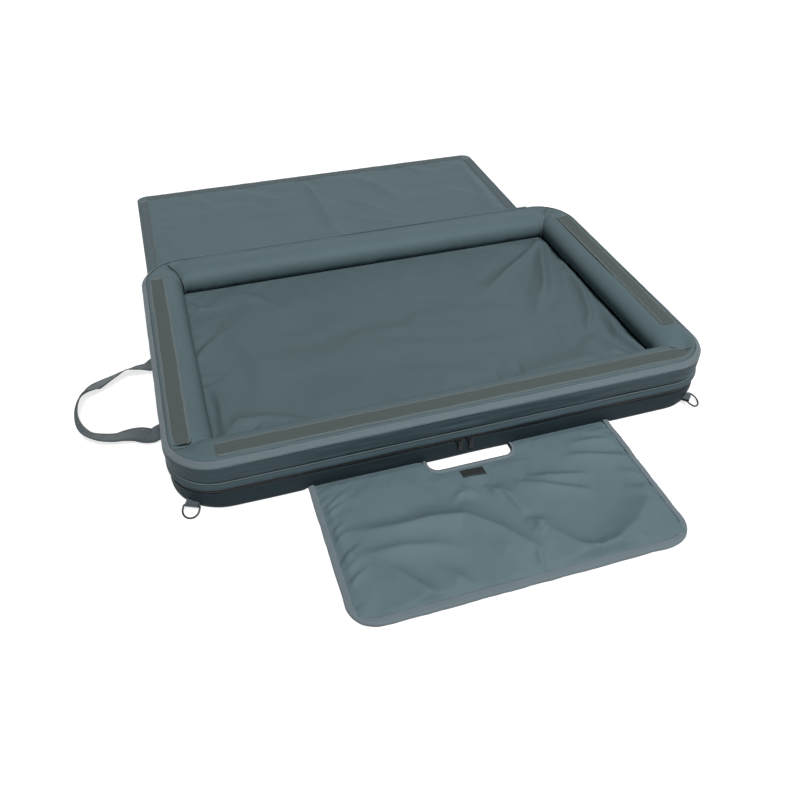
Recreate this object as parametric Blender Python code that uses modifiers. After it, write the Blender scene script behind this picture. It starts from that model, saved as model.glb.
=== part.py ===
"""An angler's unhooking mat: a padded tray on a zipped foam base, with a cover and a kneeling flap.

Lengths are in metres. The origin is the centre of the mat's underside, +X runs to the right along the
length, +Y to the rear and +Z up. The mat lies open on the ground, with the rear cover laid out behind it.
"""

from math import acos, copysign, cos, exp, hypot, pi, radians, sin, sqrt, tan

import bmesh
import bpy
from mathutils import Matrix, Vector

# Whole mat
MAT_LENGTH = 1.000
MAT_WIDTH = 0.661
CORNER_RADIUS = 0.085
CORNER_STEPS = 8
FABRIC = 0.0012
CLEARANCE = 0.0003

# Base
BASE_HEIGHT = 0.035
BASE_EDGE_RADIUS = 0.006
BASE_BULGE = 0.0012
BASE_FOAM_EDGE = 0.007

# Zip
TAPE_HEIGHT = 0.004
TAPE_RECESS = 0.0008
TAPE_THICKNESS = 0.0012
SLIDER_LENGTH = 0.014
SLIDER_HEIGHT = 0.0078
SLIDER_DEPTH = 0.003
SLIDER_ROUNDING = 0.0008
SLIDER_SPACING = 0.020
STAPLE_WIRE = 0.0008
STAPLE_SPAN = 0.008
STAPLE_REACH = 0.0032
PULL_RING = 0.0019
PULL_RING_WIRE = 0.0008
PULL_LENGTH = 0.018
PULL_WIDTH = 0.0075
PULL_THICKNESS = 0.003
PULL_ROUNDING = 0.001

# Tray
TRAY_PANEL = 0.001
FLOOR_FOAM = 0.009
BAND_BULGE = 0.0018
SEAM_SHARE = 0.30
SEAM_PINCH = 0.0010
SEAM_RISE = 0.0022
SEAM_CORD = 0.0013
SEAM_CORD_GAP = 0.0005

# Padded walls
WALL_WIDTH = 0.080
WALL_HEIGHT = 0.0547
WALL_HALF_DEPTH = 0.030
WALL_OUTER_POWER = 4.0
WALL_INNER_POWER = 2.2
WALL_SECTION_STEPS = 12
WALL_STRAIGHT_STEPS = 4
WALL_FOAM_SHRINK = 0.0026
MITRE_DROP = 0.007
MITRE_DROP_START = 0.020
MITRE_DROP_FULL = 0.036
MITRE_DEGREES = {"rear_right": 56.25, "rear_left": 22.5, "front_left": 33.75, "front_right": 56.25}

# Rim binding and loop tape
RIM_BAND = 0.0125
RIM_BAND_DROP = 0.0035
RIM_BAND_THICKNESS = 0.001
LOOP_TAPE_WIDTH = 0.034
LOOP_TAPE_THICKNESS = 0.0012
LOOP_TAPE_GAP = 0.001
FRONT_TAPE_LENGTH = 0.826
SIDE_TAPE_LENGTH = 0.486

# Tray liner
LINER_THICKNESS = 0.001
LINER_GAP = 0.001
LINER_TUCK = 0.0150
LINER_STEPS_LONG = 20
LINER_STEPS_WIDE = 12
FAN_DEGREES = (184.0, 203.0, 222.0, 243.0, 262.0)
FAN_HEIGHT = 0.0045
FAN_SPREAD = 0.085
FAN_REACH = 0.200
FAN_START = 0.050
RIDGE_HEIGHT = 0.004
RIDGE_INSET = 0.039
RIDGE_SPREAD = 0.013
LINER_MARGIN = 0.030
LINER_WAVE_HEIGHT = 0.0003
LINER_WAVE_LENGTH = 0.095
WAVE_SKEW_SHARE = 0.4

# Rear cover
COVER_WIDTH = 0.972
COVER_OFFSET = -0.008
COVER_REACH = 0.5365
COVER_THICKNESS = 0.001
COVER_CORNER = 0.025
COVER_HINGE_HEIGHT = 0.109
COVER_DROP_TOP = 0.1005
COVER_HINGE_GAP = 0.0008
COVER_STANDOFF = 0.0026
COVER_STEPS_LONG = 22
COVER_STEPS_WIDE = 12
COVER_RIPPLE = 0.0022
COVER_WAVE_LONG = 0.243
COVER_WAVE_WIDE = 0.358
COVER_CREASE_X = -0.040
COVER_CREASE_SPREAD = 0.022
COVER_FLAT_EDGE = 0.055
HOOK_TAPE_WIDTH = 0.028
HOOK_TAPE_THICKNESS = 0.001

# Kneeling flap
KNEEL_WIDTH = 0.565
KNEEL_OFFSET = 0.0015
KNEEL_DEPTH = 0.2935
KNEEL_CORNER = 0.045
KNEEL_ROOT_GAP = 0.0005
KNEEL_SHEET = 0.001
KNEEL_FOAM = 0.0042
KNEEL_CROWN = 0.0016
KNEEL_CROWN_REACH = 0.070
KNEEL_FOLD_HEIGHT = 0.0012
KNEEL_FOLD_SPREAD = 0.030
KNEEL_FOLD_SHARES = ((-0.4, 0.5), (0.15, -0.6), (0.6, -0.9))
KNEEL_STEPS_SIDE = 6
KNEEL_STEPS_HOLE = 6
KNEEL_STEPS_FRONT = 8
KNEEL_STEPS_ROOT = 2
KNEEL_BINDING = 0.013
KNEEL_BINDING_THICKNESS = 0.0009
KNEEL_BINDING_LIFT = 0.0006
HAND_HOLE_WIDTH = 0.167
HAND_HOLE_OFFSET = 0.0075
HAND_HOLE_DEPTH = 0.0350
HAND_HOLE_CORNER = 0.016
HAND_HOLE_BINDING = 0.006
PATCH_WIDTH = 0.043
PATCH_DEPTH = 0.020
PATCH_THICKNESS = 0.0008
PATCH_OFFSET = -0.004
PATCH_GAP = 0.008

# Side handle
STRAP_WIDTH = 0.038
STRAP_THICKNESS = 0.0018
STRAP_HEIGHT = 0.011
STRAP_STEPS = 4
ANCHOR_REACH = 0.045
ANCHOR_HEIGHT = 0.024
ANCHOR_LIFT = 0.004
STRAP_ROUTE = (
    # x, y, lean in degrees: 0 lies flat, 90 stands on its edge
    (-0.0042, -0.118, 0.0),
    (-0.0300, -0.119, -5.0),
    (-0.0660, -0.112, 8.0),
    (-0.1000, -0.106, 20.0),
    (-0.1300, -0.084, 45.0),
    (-0.1480, -0.046, 65.0),
    (-0.1540, -0.006, 72.0),
    (-0.1470, 0.030, 88.0),
    (-0.1280, 0.054, 66.0),
    (-0.1040, 0.068, 12.0),
    (-0.0700, 0.080, -16.0),
    (-0.0350, 0.087, -14.0),
    (-0.0042, 0.088, 0.0),
)

# D-rings
RING_WIRE = 0.0016
RING_HALF_WIDTH = 0.014
RING_LEG = 0.008
RING_STEPS = 10
RING_TILT_DEGREES = 27.0
RING_HEIGHT = 0.012
RING_STANDOFF = 0.0075
TAB_WIDTH = 0.024
TAB_THICKNESS = 0.0014
TAB_STEPS_WIDE = 4
TAB_STEPS_ROUND = 6
RING_PLACES = {
    # corner centre's side in X, place round the corner and heading, both in degrees
    "left": (-1.0, 231.0, 245.0),
    "right": (1.0, 300.0, 315.0),
}

# Heights that follow from the sizes above
TAPE_BOTTOM = BASE_HEIGHT + CLEARANCE
TAPE_SPLIT = TAPE_BOTTOM + TAPE_HEIGHT
BAND_BOTTOM = TAPE_SPLIT + CLEARANCE + TAPE_HEIGHT + CLEARANCE
INNER_INSET = TAPE_RECESS + TAPE_THICKNESS + CLEARANCE
TRAY_PANEL_BOTTOM = TAPE_SPLIT + CLEARANCE + CLEARANCE
FLOOR_BOTTOM = TRAY_PANEL_BOTTOM + TRAY_PANEL + CLEARANCE
FLOOR_TOP = FLOOR_BOTTOM + FLOOR_FOAM
WALL_BOTTOM = FLOOR_TOP + CLEARANCE
RIM_HEIGHT = WALL_BOTTOM + WALL_HEIGHT
WALL_MIDDLE = RIM_HEIGHT - WALL_HALF_DEPTH
RIM_EDGE = FABRIC + CLEARANCE + CLEARANCE
COVER_PLANE = MAT_WIDTH / 2 + COVER_STANDOFF + COVER_THICKNESS / 2
COVER_BEND_HEIGHT = COVER_THICKNESS / 2
KNEEL_ROOT = -MAT_WIDTH / 2 - KNEEL_ROOT_GAP
KNEEL_EDGE_TOP = KNEEL_SHEET + CLEARANCE + KNEEL_FOAM + CLEARANCE + KNEEL_SHEET
KNEEL_HINGE_HEIGHT = KNEEL_EDGE_TOP + CLEARANCE + KNEEL_BINDING_THICKNESS

# Colours: red, green, blue, roughness and metallic value
COLOURS = {
    "base_fabric": (0.030, 0.040, 0.045, 0.60, 0.0),
    "band_fabric": (0.045, 0.062, 0.070, 0.50, 0.0),
    "wall_fabric": (0.085, 0.120, 0.130, 0.42, 0.0),
    "liner_fabric": (0.090, 0.130, 0.137, 0.30, 0.0),
    "cover_fabric": (0.085, 0.120, 0.132, 0.45, 0.0),
    "binding_webbing": (0.120, 0.155, 0.175, 0.65, 0.0),
    "loop_tape": (0.075, 0.090, 0.082, 0.90, 0.0),
    "hook_tape": (0.065, 0.085, 0.085, 0.80, 0.0),
    "strap_webbing": (0.060, 0.085, 0.095, 0.70, 0.0),
    "zip_tape": (0.012, 0.015, 0.017, 0.70, 0.0),
    "patch_cloth": (0.020, 0.020, 0.018, 0.75, 0.0),
    "foam": (0.100, 0.105, 0.110, 0.90, 0.0),
    "ring_metal": (0.015, 0.015, 0.016, 0.35, 0.8),
    "zip_metal": (0.020, 0.020, 0.022, 0.40, 0.8),
    "pull_rubber": (0.012, 0.012, 0.013, 0.60, 0.0),
}

CORNERS = {
    # name: side in X, side in Y, first degree of its quarter turn
    "rear_right": (1, 1, 0.0),
    "rear_left": (-1, 1, 90.0),
    "front_left": (-1, -1, 180.0),
    "front_right": (1, -1, 270.0),
}


def clear_scene():
    for obj in list(bpy.data.objects):
        bpy.data.objects.remove(obj, do_unlink=True)


def new_collection(name):
    found = bpy.data.collections.new(name)
    bpy.context.scene.collection.children.link(found)
    return found


def make_materials():
    made = {}
    for name, (red, green, blue, roughness, metallic) in COLOURS.items():
        material = bpy.data.materials.new(name)
        material.use_nodes = True
        shader = material.node_tree.nodes["Principled BSDF"]
        shader.inputs["Base Color"].default_value = (red, green, blue, 1.0)
        shader.inputs["Roughness"].default_value = roughness
        shader.inputs["Metallic"].default_value = metallic
        made[name] = material
    return made


clear_scene()
PARTS = new_collection("unhooking_mat")
MATERIALS = make_materials()


# Building tools

def add_object(name, data, material, collection=PARTS):
    obj = bpy.data.objects.new(name, data)
    collection.objects.link(obj)
    if material:
        data.materials.append(MATERIALS[material])
    return obj


def mesh_object(name, bm, material, smooth=True):
    bmesh.ops.recalc_face_normals(bm, faces=bm.faces)
    mesh = bpy.data.meshes.new(name)
    bm.to_mesh(mesh)
    bm.free()
    if smooth:
        mesh.shade_smooth()
        mesh.set_sharp_from_angle(angle=radians(40.0))
    return add_object(name, mesh, material)


def solidify(obj, thickness, side):
    """Gives an open surface its thickness: side -1 goes against its normals, 1 along them, 0 both ways."""
    modifier = obj.modifiers.new("thickness", "SOLIDIFY")
    modifier.thickness = thickness
    modifier.offset = side
    modifier.use_even_offset = True


def bevel(obj, width, segments=2):
    modifier = obj.modifiers.new("rounding", "BEVEL")
    modifier.width = width
    modifier.segments = segments
    modifier.limit_method = "ANGLE"


def boolean(obj, cutter, operation):
    """Applies a cut, so that the cutter is needed no longer."""
    modifier = obj.modifiers.new("cut", "BOOLEAN")
    modifier.object = cutter
    modifier.operation = operation
    bpy.context.view_layer.update()
    depsgraph = bpy.context.evaluated_depsgraph_get()
    mesh = bpy.data.meshes.new_from_object(obj.evaluated_get(depsgraph))
    obj.modifiers.clear()
    obj.data = mesh
    bpy.data.objects.remove(cutter, do_unlink=True)


def surface(sections, close_path=False, close_section=False, caps=False):
    """Skins a list of sections, each a list of points, with quads."""
    bm = bmesh.new()
    rows = [[bm.verts.new(point) for point in section] for section in sections]
    pairs = list(zip(rows, rows[1:]))
    if close_path:
        pairs.append((rows[-1], rows[0]))
    for first, second in pairs:
        steps = list(zip(first, first[1:], second, second[1:]))
        if close_section:
            steps.append((first[-1], first[0], second[-1], second[0]))
        for a, b, c, d in steps:
            bm.faces.new((a, b, d, c))
    if caps:
        bm.faces.new(rows[0][::-1])
        bm.faces.new(rows[-1])
    return bm


def open_surface(name, bm, material, thickness, outside):
    """Makes a sheet whose thickness lies behind the side that the outside test point is on."""
    bmesh.ops.recalc_face_normals(bm, faces=bm.faces)
    bm.normal_update()
    face = max(bm.faces, key=lambda one: one.calc_center_median().dot(outside))
    if face.normal.dot(outside) < 0:
        bmesh.ops.reverse_faces(bm, faces=bm.faces)
    mesh = bpy.data.meshes.new(name)
    bm.to_mesh(mesh)
    bm.free()
    mesh.shade_smooth()
    mesh.set_sharp_from_angle(angle=radians(40.0))
    obj = add_object(name, mesh, material)
    solidify(obj, thickness, -1)
    return obj


def rounded_outline(length, width, radius, inset=0.0, centre=(0.0, 0.0), steps=CORNER_STEPS):
    """Points, counter-clockwise from above, of a rounded rectangle drawn in by the inset."""
    points = []
    for side_x, side_y, start in CORNERS.values():
        middle_x = centre[0] + side_x * (length / 2 - radius)
        middle_y = centre[1] + side_y * (width / 2 - radius)
        for step in range(steps + 1):
            angle = radians(start + 90.0 * step / steps)
            reach = radius - inset
            points.append((middle_x + reach * cos(angle), middle_y + reach * sin(angle)))
    return points


def rectangle(x, y, length, width):
    return [(x, y), (x + length, y), (x + length, y + width), (x, y + width)]


def mat_outline(inset):
    return rounded_outline(MAT_LENGTH, MAT_WIDTH, CORNER_RADIUS, inset)


def band(name, rows, thickness, material, floor=False):
    """A band round the mat from rows of inset and height, with or without a floor at its first row."""
    loops = [[(x, y, height) for x, y in mat_outline(inset)] for inset, height in rows]
    bm = surface(loops, close_section=True)
    if floor:
        bm.verts.ensure_lookup_table()
        bm.faces.new([bm.verts[index] for index in range(len(loops[0]))])
    return open_surface(name, bm, material, thickness, Vector((1.0, 0.0, 0.0)))


def prism(name, outline, bottom, height, material, smooth=False):
    """A flat outline drawn up from its bottom height."""
    bm = bmesh.new()
    face = bm.faces.new([bm.verts.new((x, y, bottom)) for x, y in outline])
    top = bmesh.ops.extrude_face_region(bm, geom=[face])
    raised = [item for item in top["geom"] if isinstance(item, bmesh.types.BMVert)]
    bmesh.ops.translate(bm, vec=(0.0, 0.0, height), verts=raised)
    return mesh_object(name, bm, material, smooth)


def wire(name, points, radius, material, closed=False, resolution=1):
    """A round wire or cord along its points."""
    curve = bpy.data.curves.new(name, "CURVE")
    curve.dimensions = "3D"
    curve.bevel_depth = radius
    curve.bevel_resolution = resolution
    curve.use_fill_caps = not closed
    spline = curve.splines.new("POLY")
    spline.points.add(len(points) - 1)
    for point, place in zip(spline.points, points):
        point.co = (*place, 1.0)
    spline.use_cyclic_u = closed
    return add_object(name, curve, material)


def weld(mesh):
    """Joins points that lie on each other."""
    bm = bmesh.new()
    bm.from_mesh(mesh)
    bmesh.ops.remove_doubles(bm, verts=bm.verts, dist=CLEARANCE / 10)
    bmesh.ops.recalc_face_normals(bm, faces=bm.faces)
    bm.to_mesh(mesh)
    bm.free()


def wire_mesh(obj):
    """Turns a wire into a closed mesh, so that it can be joined to others."""
    bpy.context.view_layer.update()
    depsgraph = bpy.context.evaluated_depsgraph_get()
    mesh = bpy.data.meshes.new_from_object(obj.evaluated_get(depsgraph))
    weld(mesh)
    made = add_object(obj.name + "_mesh", mesh, None)
    made.matrix_world = obj.matrix_world.copy()
    bpy.data.objects.remove(obj, do_unlink=True)
    return made


def rounded_box(name, size, centre, rounding, material):
    bm = bmesh.new()
    bmesh.ops.create_cube(bm, size=1.0)
    bmesh.ops.scale(bm, vec=size, verts=bm.verts)
    bmesh.ops.translate(bm, vec=centre, verts=bm.verts)
    obj = mesh_object(name, bm, material)
    bevel(obj, rounding)
    return obj


def spread(start, end, steps):
    """Even lines from start to end."""
    return [start + (end - start) * step / steps for step in range(steps + 1)]


def sheet(name, across, along, height_at, thickness, outline, material):
    """A sheet whose underside follows height_at(x, y) on its grid lines, trimmed to its outline."""
    sections = [[(x, y, height_at(x, y)) for x in across] for y in along]
    obj = open_surface(name, surface(sections), material, thickness, Vector((0.0, 0.0, -1.0)))
    cutter = prism(name + "_outline", outline, -MAT_WIDTH, MAT_WIDTH * 2, None)
    boolean(obj, cutter, "INTERSECT")
    weld(obj.data)
    obj.data.shade_smooth()
    obj.data.set_sharp_from_angle(angle=radians(40.0))
    return obj


def smooth_step(value):
    value = min(max(value, 0.0), 1.0)
    return value * value * (3.0 - 2.0 * value)


def set_origin(obj, place):
    """Moves an object's origin to its joint, with its shape left where it is."""
    obj.data.transform(Matrix.Translation(-Vector(place)))
    obj.location = place


# Base

def make_base():
    rows = [
        (BASE_EDGE_RADIUS, 0.0),
        (BASE_EDGE_RADIUS * (1 - cos(pi / 4)), BASE_EDGE_RADIUS * (1 - sin(pi / 4))),
        (0.0, BASE_EDGE_RADIUS),
        (-BASE_BULGE, BASE_HEIGHT / 2),
        (0.0, BASE_HEIGHT),
    ]
    band("base_cover", rows, FABRIC, "base_fabric", floor=True)
    foam = prism(
        "base_foam",
        mat_outline(INNER_INSET),
        FABRIC + CLEARANCE,
        TAPE_SPLIT - FABRIC - CLEARANCE,
        "foam",
    )
    bottom_edge = foam.modifiers.new("rounding", "BEVEL")
    bottom_edge.width = BASE_FOAM_EDGE - FABRIC
    bottom_edge.segments = 2
    bottom_edge.limit_method = "ANGLE"
    bottom_edge.angle_limit = radians(60.0)


def make_zip_tapes():
    for name, low in (("lower_zip_tape", TAPE_BOTTOM), ("upper_zip_tape", TAPE_SPLIT + CLEARANCE)):
        rows = [(TAPE_RECESS, low), (TAPE_RECESS, low + TAPE_HEIGHT)]
        band(name, rows, TAPE_THICKNESS, "zip_tape")


# Sliders and pulls

def make_slider(name, x):
    """A zip slider with the wire staple that its pull hangs on."""
    back = -MAT_WIDTH / 2 + TAPE_RECESS - CLEARANCE
    front = back - SLIDER_DEPTH
    centre = Vector((x, (back + front) / 2, TAPE_SPLIT))
    size = (SLIDER_LENGTH, SLIDER_DEPTH, SLIDER_HEIGHT)
    body = rounded_box(name, size, centre, SLIDER_ROUNDING, "zip_metal")
    bar = front - STAPLE_REACH
    root = front + SLIDER_DEPTH / 2
    end = -STAPLE_SPAN / 2
    route = [(end, root), (end, bar + STAPLE_WIRE), (end + STAPLE_WIRE, bar)]
    route += [(-along, out) for along, out in route[::-1]]
    points = [(x + along, out, TAPE_SPLIT) for along, out in route]
    staple = wire(name + "_staple", points, STAPLE_WIRE, None)
    boolean(body, wire_mesh(staple), "UNION")
    set_origin(body, centre)
    return Vector((x, bar, TAPE_SPLIT))


def make_pull(name, pivot):
    """A moulded grip that hangs from its ring, which runs round the slider's staple."""
    turn = [2 * pi * step / RING_STEPS for step in range(RING_STEPS)]
    circle = [pivot + Vector((0.0, PULL_RING * cos(angle), PULL_RING * sin(angle))) for angle in turn]
    ring = wire_mesh(wire(name + "_ring", circle, PULL_RING_WIRE, None, closed=True))
    grip_size = (PULL_WIDTH, PULL_THICKNESS, PULL_LENGTH)
    grip_centre = pivot - Vector((0.0, 0.0, PULL_RING + PULL_LENGTH / 2))
    grip = rounded_box(name, grip_size, grip_centre, PULL_ROUNDING, "pull_rubber")
    boolean(grip, ring, "UNION")
    set_origin(grip, pivot)


# Tray

def make_tray_shell():
    seam = BAND_BOTTOM + SEAM_SHARE * (rim_seam_height() - BAND_BOTTOM)
    top = rim_seam_height()
    upper = top - seam
    rows = [
        (0.0, BAND_BOTTOM),
        (-BAND_BULGE / 2, (BAND_BOTTOM + seam) / 2),
        (0.0, seam - SEAM_RISE),
        (SEAM_PINCH, seam),
        (0.0, seam + SEAM_RISE),
        (-BAND_BULGE, seam + upper / 4),
        (-BAND_BULGE, seam + upper / 2),
        (0.0, top - RIM_BAND_DROP - CLEARANCE),
        (0.0, top - CLEARANCE),
    ]
    band("tray_side_band", rows, FABRIC, "band_fabric")
    cord_inset = SEAM_PINCH - SEAM_CORD_GAP - SEAM_CORD
    cord = [(x, y, seam) for x, y in mat_outline(cord_inset)]
    wire("seam_piping", cord, SEAM_CORD, "binding_webbing", closed=True)
    prism("tray_underside", mat_outline(INNER_INSET), TRAY_PANEL_BOTTOM, TRAY_PANEL, "base_fabric")
    prism("floor_foam", mat_outline(INNER_INSET), FLOOR_BOTTOM, FLOOR_FOAM, "foam")


def wall_top(inset):
    """Height of a padded wall's surface at a distance in from the mat's outline."""
    half = WALL_WIDTH / 2
    across = (inset - half) / half
    power = WALL_OUTER_POWER if across < 0 else WALL_INNER_POWER
    return WALL_MIDDLE + WALL_HALF_DEPTH * (1.0 - abs(across) ** power) ** (1.0 / power)


def rim_seam_height():
    return wall_top(RIM_EDGE)


def turn_at(across, power):
    """The turn at which a rounded section has this share of its half width."""
    return acos(min(across, 1.0) ** (power / 2))


def wall_side(height):
    """Inset of a padded wall's inner side at a height below its middle."""
    drop = (WALL_MIDDLE - height) / WALL_HALF_DEPTH
    across = (1.0 - drop ** WALL_INNER_POWER) ** (1.0 / WALL_INNER_POWER)
    return WALL_WIDTH / 2 * (1.0 + across)


def wall_section():
    """Points of inset and height, from the rim seam over the crest and down to the floor."""
    half = WALL_WIDTH / 2
    start = turn_at(1.0 - RIM_EDGE / half, WALL_OUTER_POWER)
    end = pi + turn_at(wall_side(WALL_BOTTOM) / half - 1.0, WALL_INNER_POWER)
    points = []
    for step in range(WALL_SECTION_STEPS + 1):
        angle = start + (end - start) * step / WALL_SECTION_STEPS
        power = WALL_OUTER_POWER if cos(angle) > 0 else WALL_INNER_POWER
        across = abs(cos(angle)) ** (2 / power)
        rise = abs(sin(angle)) ** (2 / power)
        inset = half - half * across if cos(angle) > 0 else half + half * across
        height = WALL_MIDDLE + WALL_HALF_DEPTH * (rise if sin(angle) > 0 else -rise)
        points.append((inset, height))
    return points


def sunk(inset, height, near):
    """A wall point's height where the wall sinks towards a corner's mitre."""
    if height <= WALL_MIDDLE:
        return height
    across = smooth_step((inset - MITRE_DROP_START) / (MITRE_DROP_FULL - MITRE_DROP_START))
    return height - (height - WALL_MIDDLE) * MITRE_DROP / WALL_HALF_DEPTH * across * near * near


def wall_path(first, second):
    """Stations along one wall, from its first corner's mitre round to its second one's.

    Each gives its corner's middle in plan, its outward turn, its shift along the wall at a mitre and how
    near it is to the mitre.
    """
    stations = []
    middles = []
    for name in (first, second):
        side_x, side_y, start = CORNERS[name]
        middle_x = side_x * (MAT_LENGTH / 2 - CORNER_RADIUS)
        middle_y = side_y * (MAT_WIDTH / 2 - CORNER_RADIUS)
        middles.append(Vector((middle_x, middle_y)))
        mitre = round(MITRE_DEGREES[name] * CORNER_STEPS / 90.0)
        steps = range(mitre, CORNER_STEPS + 1) if name == first else range(mitre + 1)
        for step in steps:
            angle = radians(start + 90.0 * step / CORNER_STEPS)
            inner = CORNER_STEPS if name == first else 0
            near = 1.0 - abs(step - mitre) / max(abs(inner - mitre), 1)
            gap = 0.0
            if step == mitre:
                gap = CLEARANCE / 2 if name == first else -CLEARANCE / 2
            stations.append((middles[-1], angle, gap, near))
        if name == first:
            turn = stations[-1][1]
            straight = len(stations)
    for step in range(1, WALL_STRAIGHT_STEPS):
        place = middles[0].lerp(middles[1], step / WALL_STRAIGHT_STEPS)
        stations.insert(straight + step - 1, (place, turn, 0.0, 0.0))
    return stations


def wall_sections(stations, section):
    sections = []
    for middle, angle, gap, near in stations:
        outward = Vector((cos(angle), sin(angle)))
        along = Vector((-sin(angle), cos(angle)))
        line = []
        for inset, height in section:
            place = middle + outward * (CORNER_RADIUS - inset) + along * gap
            line.append((place.x, place.y, sunk(inset, height, near)))
        sections.append(line)
    return sections


def make_walls():
    walls = {
        "rear_wall": ("rear_right", "rear_left", Vector((0.0, 0.0, 1.0))),
        "left_wall": ("rear_left", "front_left", Vector((0.0, 0.0, 1.0))),
        "front_wall": ("front_left", "front_right", Vector((0.0, 0.0, 1.0))),
        "right_wall": ("front_right", "rear_right", Vector((0.0, 0.0, 1.0))),
    }
    for name, (first, second, outside) in walls.items():
        stations = wall_path(first, second)
        sleeve = surface(wall_sections(stations, wall_section()))
        open_surface(name + "_sleeve", sleeve, "wall_fabric", FABRIC, outside)
        inner = lifted(wall_section(), -WALL_FOAM_SHRINK)
        foot = WALL_BOTTOM + CLEARANCE
        core = [(inner[0][0], foot)] + [(inset, max(height, foot)) for inset, height in inner]
        bm = surface(wall_sections(stations, core), close_section=True, caps=True)
        mesh_object(name + "_foam", bm, "foam")


def section_between(start, end):
    """The walls' section from one inset to the next, over their crest."""
    line = wall_section()
    points = []
    for (inset, height), (next_inset, next_height) in zip(line, line[1:]):
        if next_inset <= inset:
            break
        for edge in (start, end):
            if inset <= edge < next_inset:
                share = (edge - inset) / (next_inset - inset)
                points.append((edge, height + share * (next_height - height)))
        if start < next_inset < end:
            points.append((next_inset, next_height))
    return points


def lifted(points, distance):
    """A line of inset and height moved out from the walls by a distance, parallel to itself."""
    moved = []
    for index, point in enumerate(points):
        normals = []
        for near, far in ((index - 1, index), (index, index + 1)):
            if near >= 0 and far < len(points):
                along = Vector(points[far]) - Vector(points[near])
                normals.append(Vector((-along.y, along.x)).normalized())
        normal = sum(normals, Vector((0.0, 0.0))).normalized()
        moved.append(Vector(point) + normal * distance / normal.dot(normals[0]))
    return moved


def make_rim_binding():
    """Binding tape folded over the seam where the walls' sleeves meet the side band."""
    lift = CLEARANCE + RIM_BAND_THICKNESS
    seam = rim_seam_height()
    over = [point for point in section_between(RIM_EDGE, RIM_BAND) if point[0] > RIM_EDGE + CLEARANCE]
    rows = lifted([(0.0, seam - RIM_BAND_DROP), (0.0, seam)] + over, lift)
    loops = [[(x, y, height) for x, y in mat_outline(inset)] for inset, height in rows]
    bm = surface(loops, close_section=True)
    open_surface("rim_binding", bm, "binding_webbing", RIM_BAND_THICKNESS, Vector((1.0, 0.0, 0.0)))


def make_loop_tape(name, heading, length, offset):
    """Loop tape on a wall's crest: heading is the wall's outward direction in degrees."""
    angle = radians(heading)
    outward = Vector((cos(angle), sin(angle)))
    along = Vector((-sin(angle), cos(angle)))
    half = MAT_WIDTH / 2 if abs(sin(angle)) > abs(cos(angle)) else MAT_LENGTH / 2
    start = RIM_BAND + LOOP_TAPE_GAP
    sections = []
    crest = section_between(start, start + LOOP_TAPE_WIDTH)
    for inset, height in lifted(crest, CLEARANCE + LOOP_TAPE_THICKNESS):
        line = []
        for end in (-1, 1):
            place = outward * (half - inset) + along * (offset + end * length / 2)
            line.append((place.x, place.y, height))
        sections.append(line)
    open_surface(name, surface(sections), "loop_tape", LOOP_TAPE_THICKNESS, Vector((0.0, 0.0, 1.0)))


def make_loop_tapes():
    make_loop_tape("front_loop_tape", 270.0, FRONT_TAPE_LENGTH, 0.0)
    make_loop_tape("left_loop_tape", 180.0, SIDE_TAPE_LENGTH, 0.0)
    make_loop_tape("right_loop_tape", 0.0, SIDE_TAPE_LENGTH, 0.0)


def liner_inset():
    return wall_side(WALL_BOTTOM + LINER_THICKNESS) + LINER_GAP


def liner_height(x, y):
    """Underside of the tray's liner, with folds that fan out from the rear right corner."""
    inset = liner_inset()
    corner = Vector((MAT_LENGTH / 2 - WALL_WIDTH, MAT_WIDTH / 2 - WALL_WIDTH))
    arm = Vector((x, y)) - corner
    distance = arm.length
    edge = min(MAT_LENGTH / 2 - abs(x), MAT_WIDTH / 2 - abs(y)) - inset
    flat = smooth_step((edge - LINER_TUCK) / LINER_MARGIN)
    fan = 0.0
    for degrees in FAN_DEGREES:
        heading = radians(degrees)
        ahead = arm.x * cos(heading) + arm.y * sin(heading)
        aside = -arm.x * sin(heading) + arm.y * cos(heading)
        if ahead > 0:
            width = FAN_SPREAD * ahead + CLEARANCE
            fan += exp(-(aside / width) ** 2) * exp(-ahead / FAN_REACH)
    side = (MAT_LENGTH / 2 - WALL_WIDTH - RIDGE_INSET - x) / RIDGE_SPREAD
    ridge = exp(-side * side) * smooth_step((-y + MAT_WIDTH / 4) / (MAT_WIDTH / 4))
    lift = FAN_HEIGHT * min(fan, 1.0) * smooth_step(distance / FAN_START) + RIDGE_HEIGHT * ridge
    turn = 2 * pi / LINER_WAVE_LENGTH
    wave = sin(turn * (x + WAVE_SKEW_SHARE * y)) * cos(turn * (y - WAVE_SKEW_SHARE * x))
    return WALL_BOTTOM + LINER_WAVE_HEIGHT * (1 + wave) / 2 + lift * flat


def corner_lines(half, radius, steps):
    """Lines over a width with round corners: even ones between the corners, close ones in them."""
    near = half - radius
    turns = [pi / 2 * step / CORNER_STEPS for step in range(1, CORNER_STEPS // 2 + 1)]
    close = [near + radius * tan(turn) for turn in turns]
    return [-place for place in reversed(close)] + spread(-near, near, steps) + close


def drawn_in(x, y, half_length, half_width, radius):
    """Moves a point of a corner's square onto the corner's round."""
    over_x = abs(x) - half_length + radius
    over_y = abs(y) - half_width + radius
    if over_x > CLEARANCE and over_y > CLEARANCE:
        share = max(over_x, over_y) / hypot(over_x, over_y)
        x = copysign(half_length - radius + over_x * share, x)
        y = copysign(half_width - radius + over_y * share, y)
    return x, y


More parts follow.
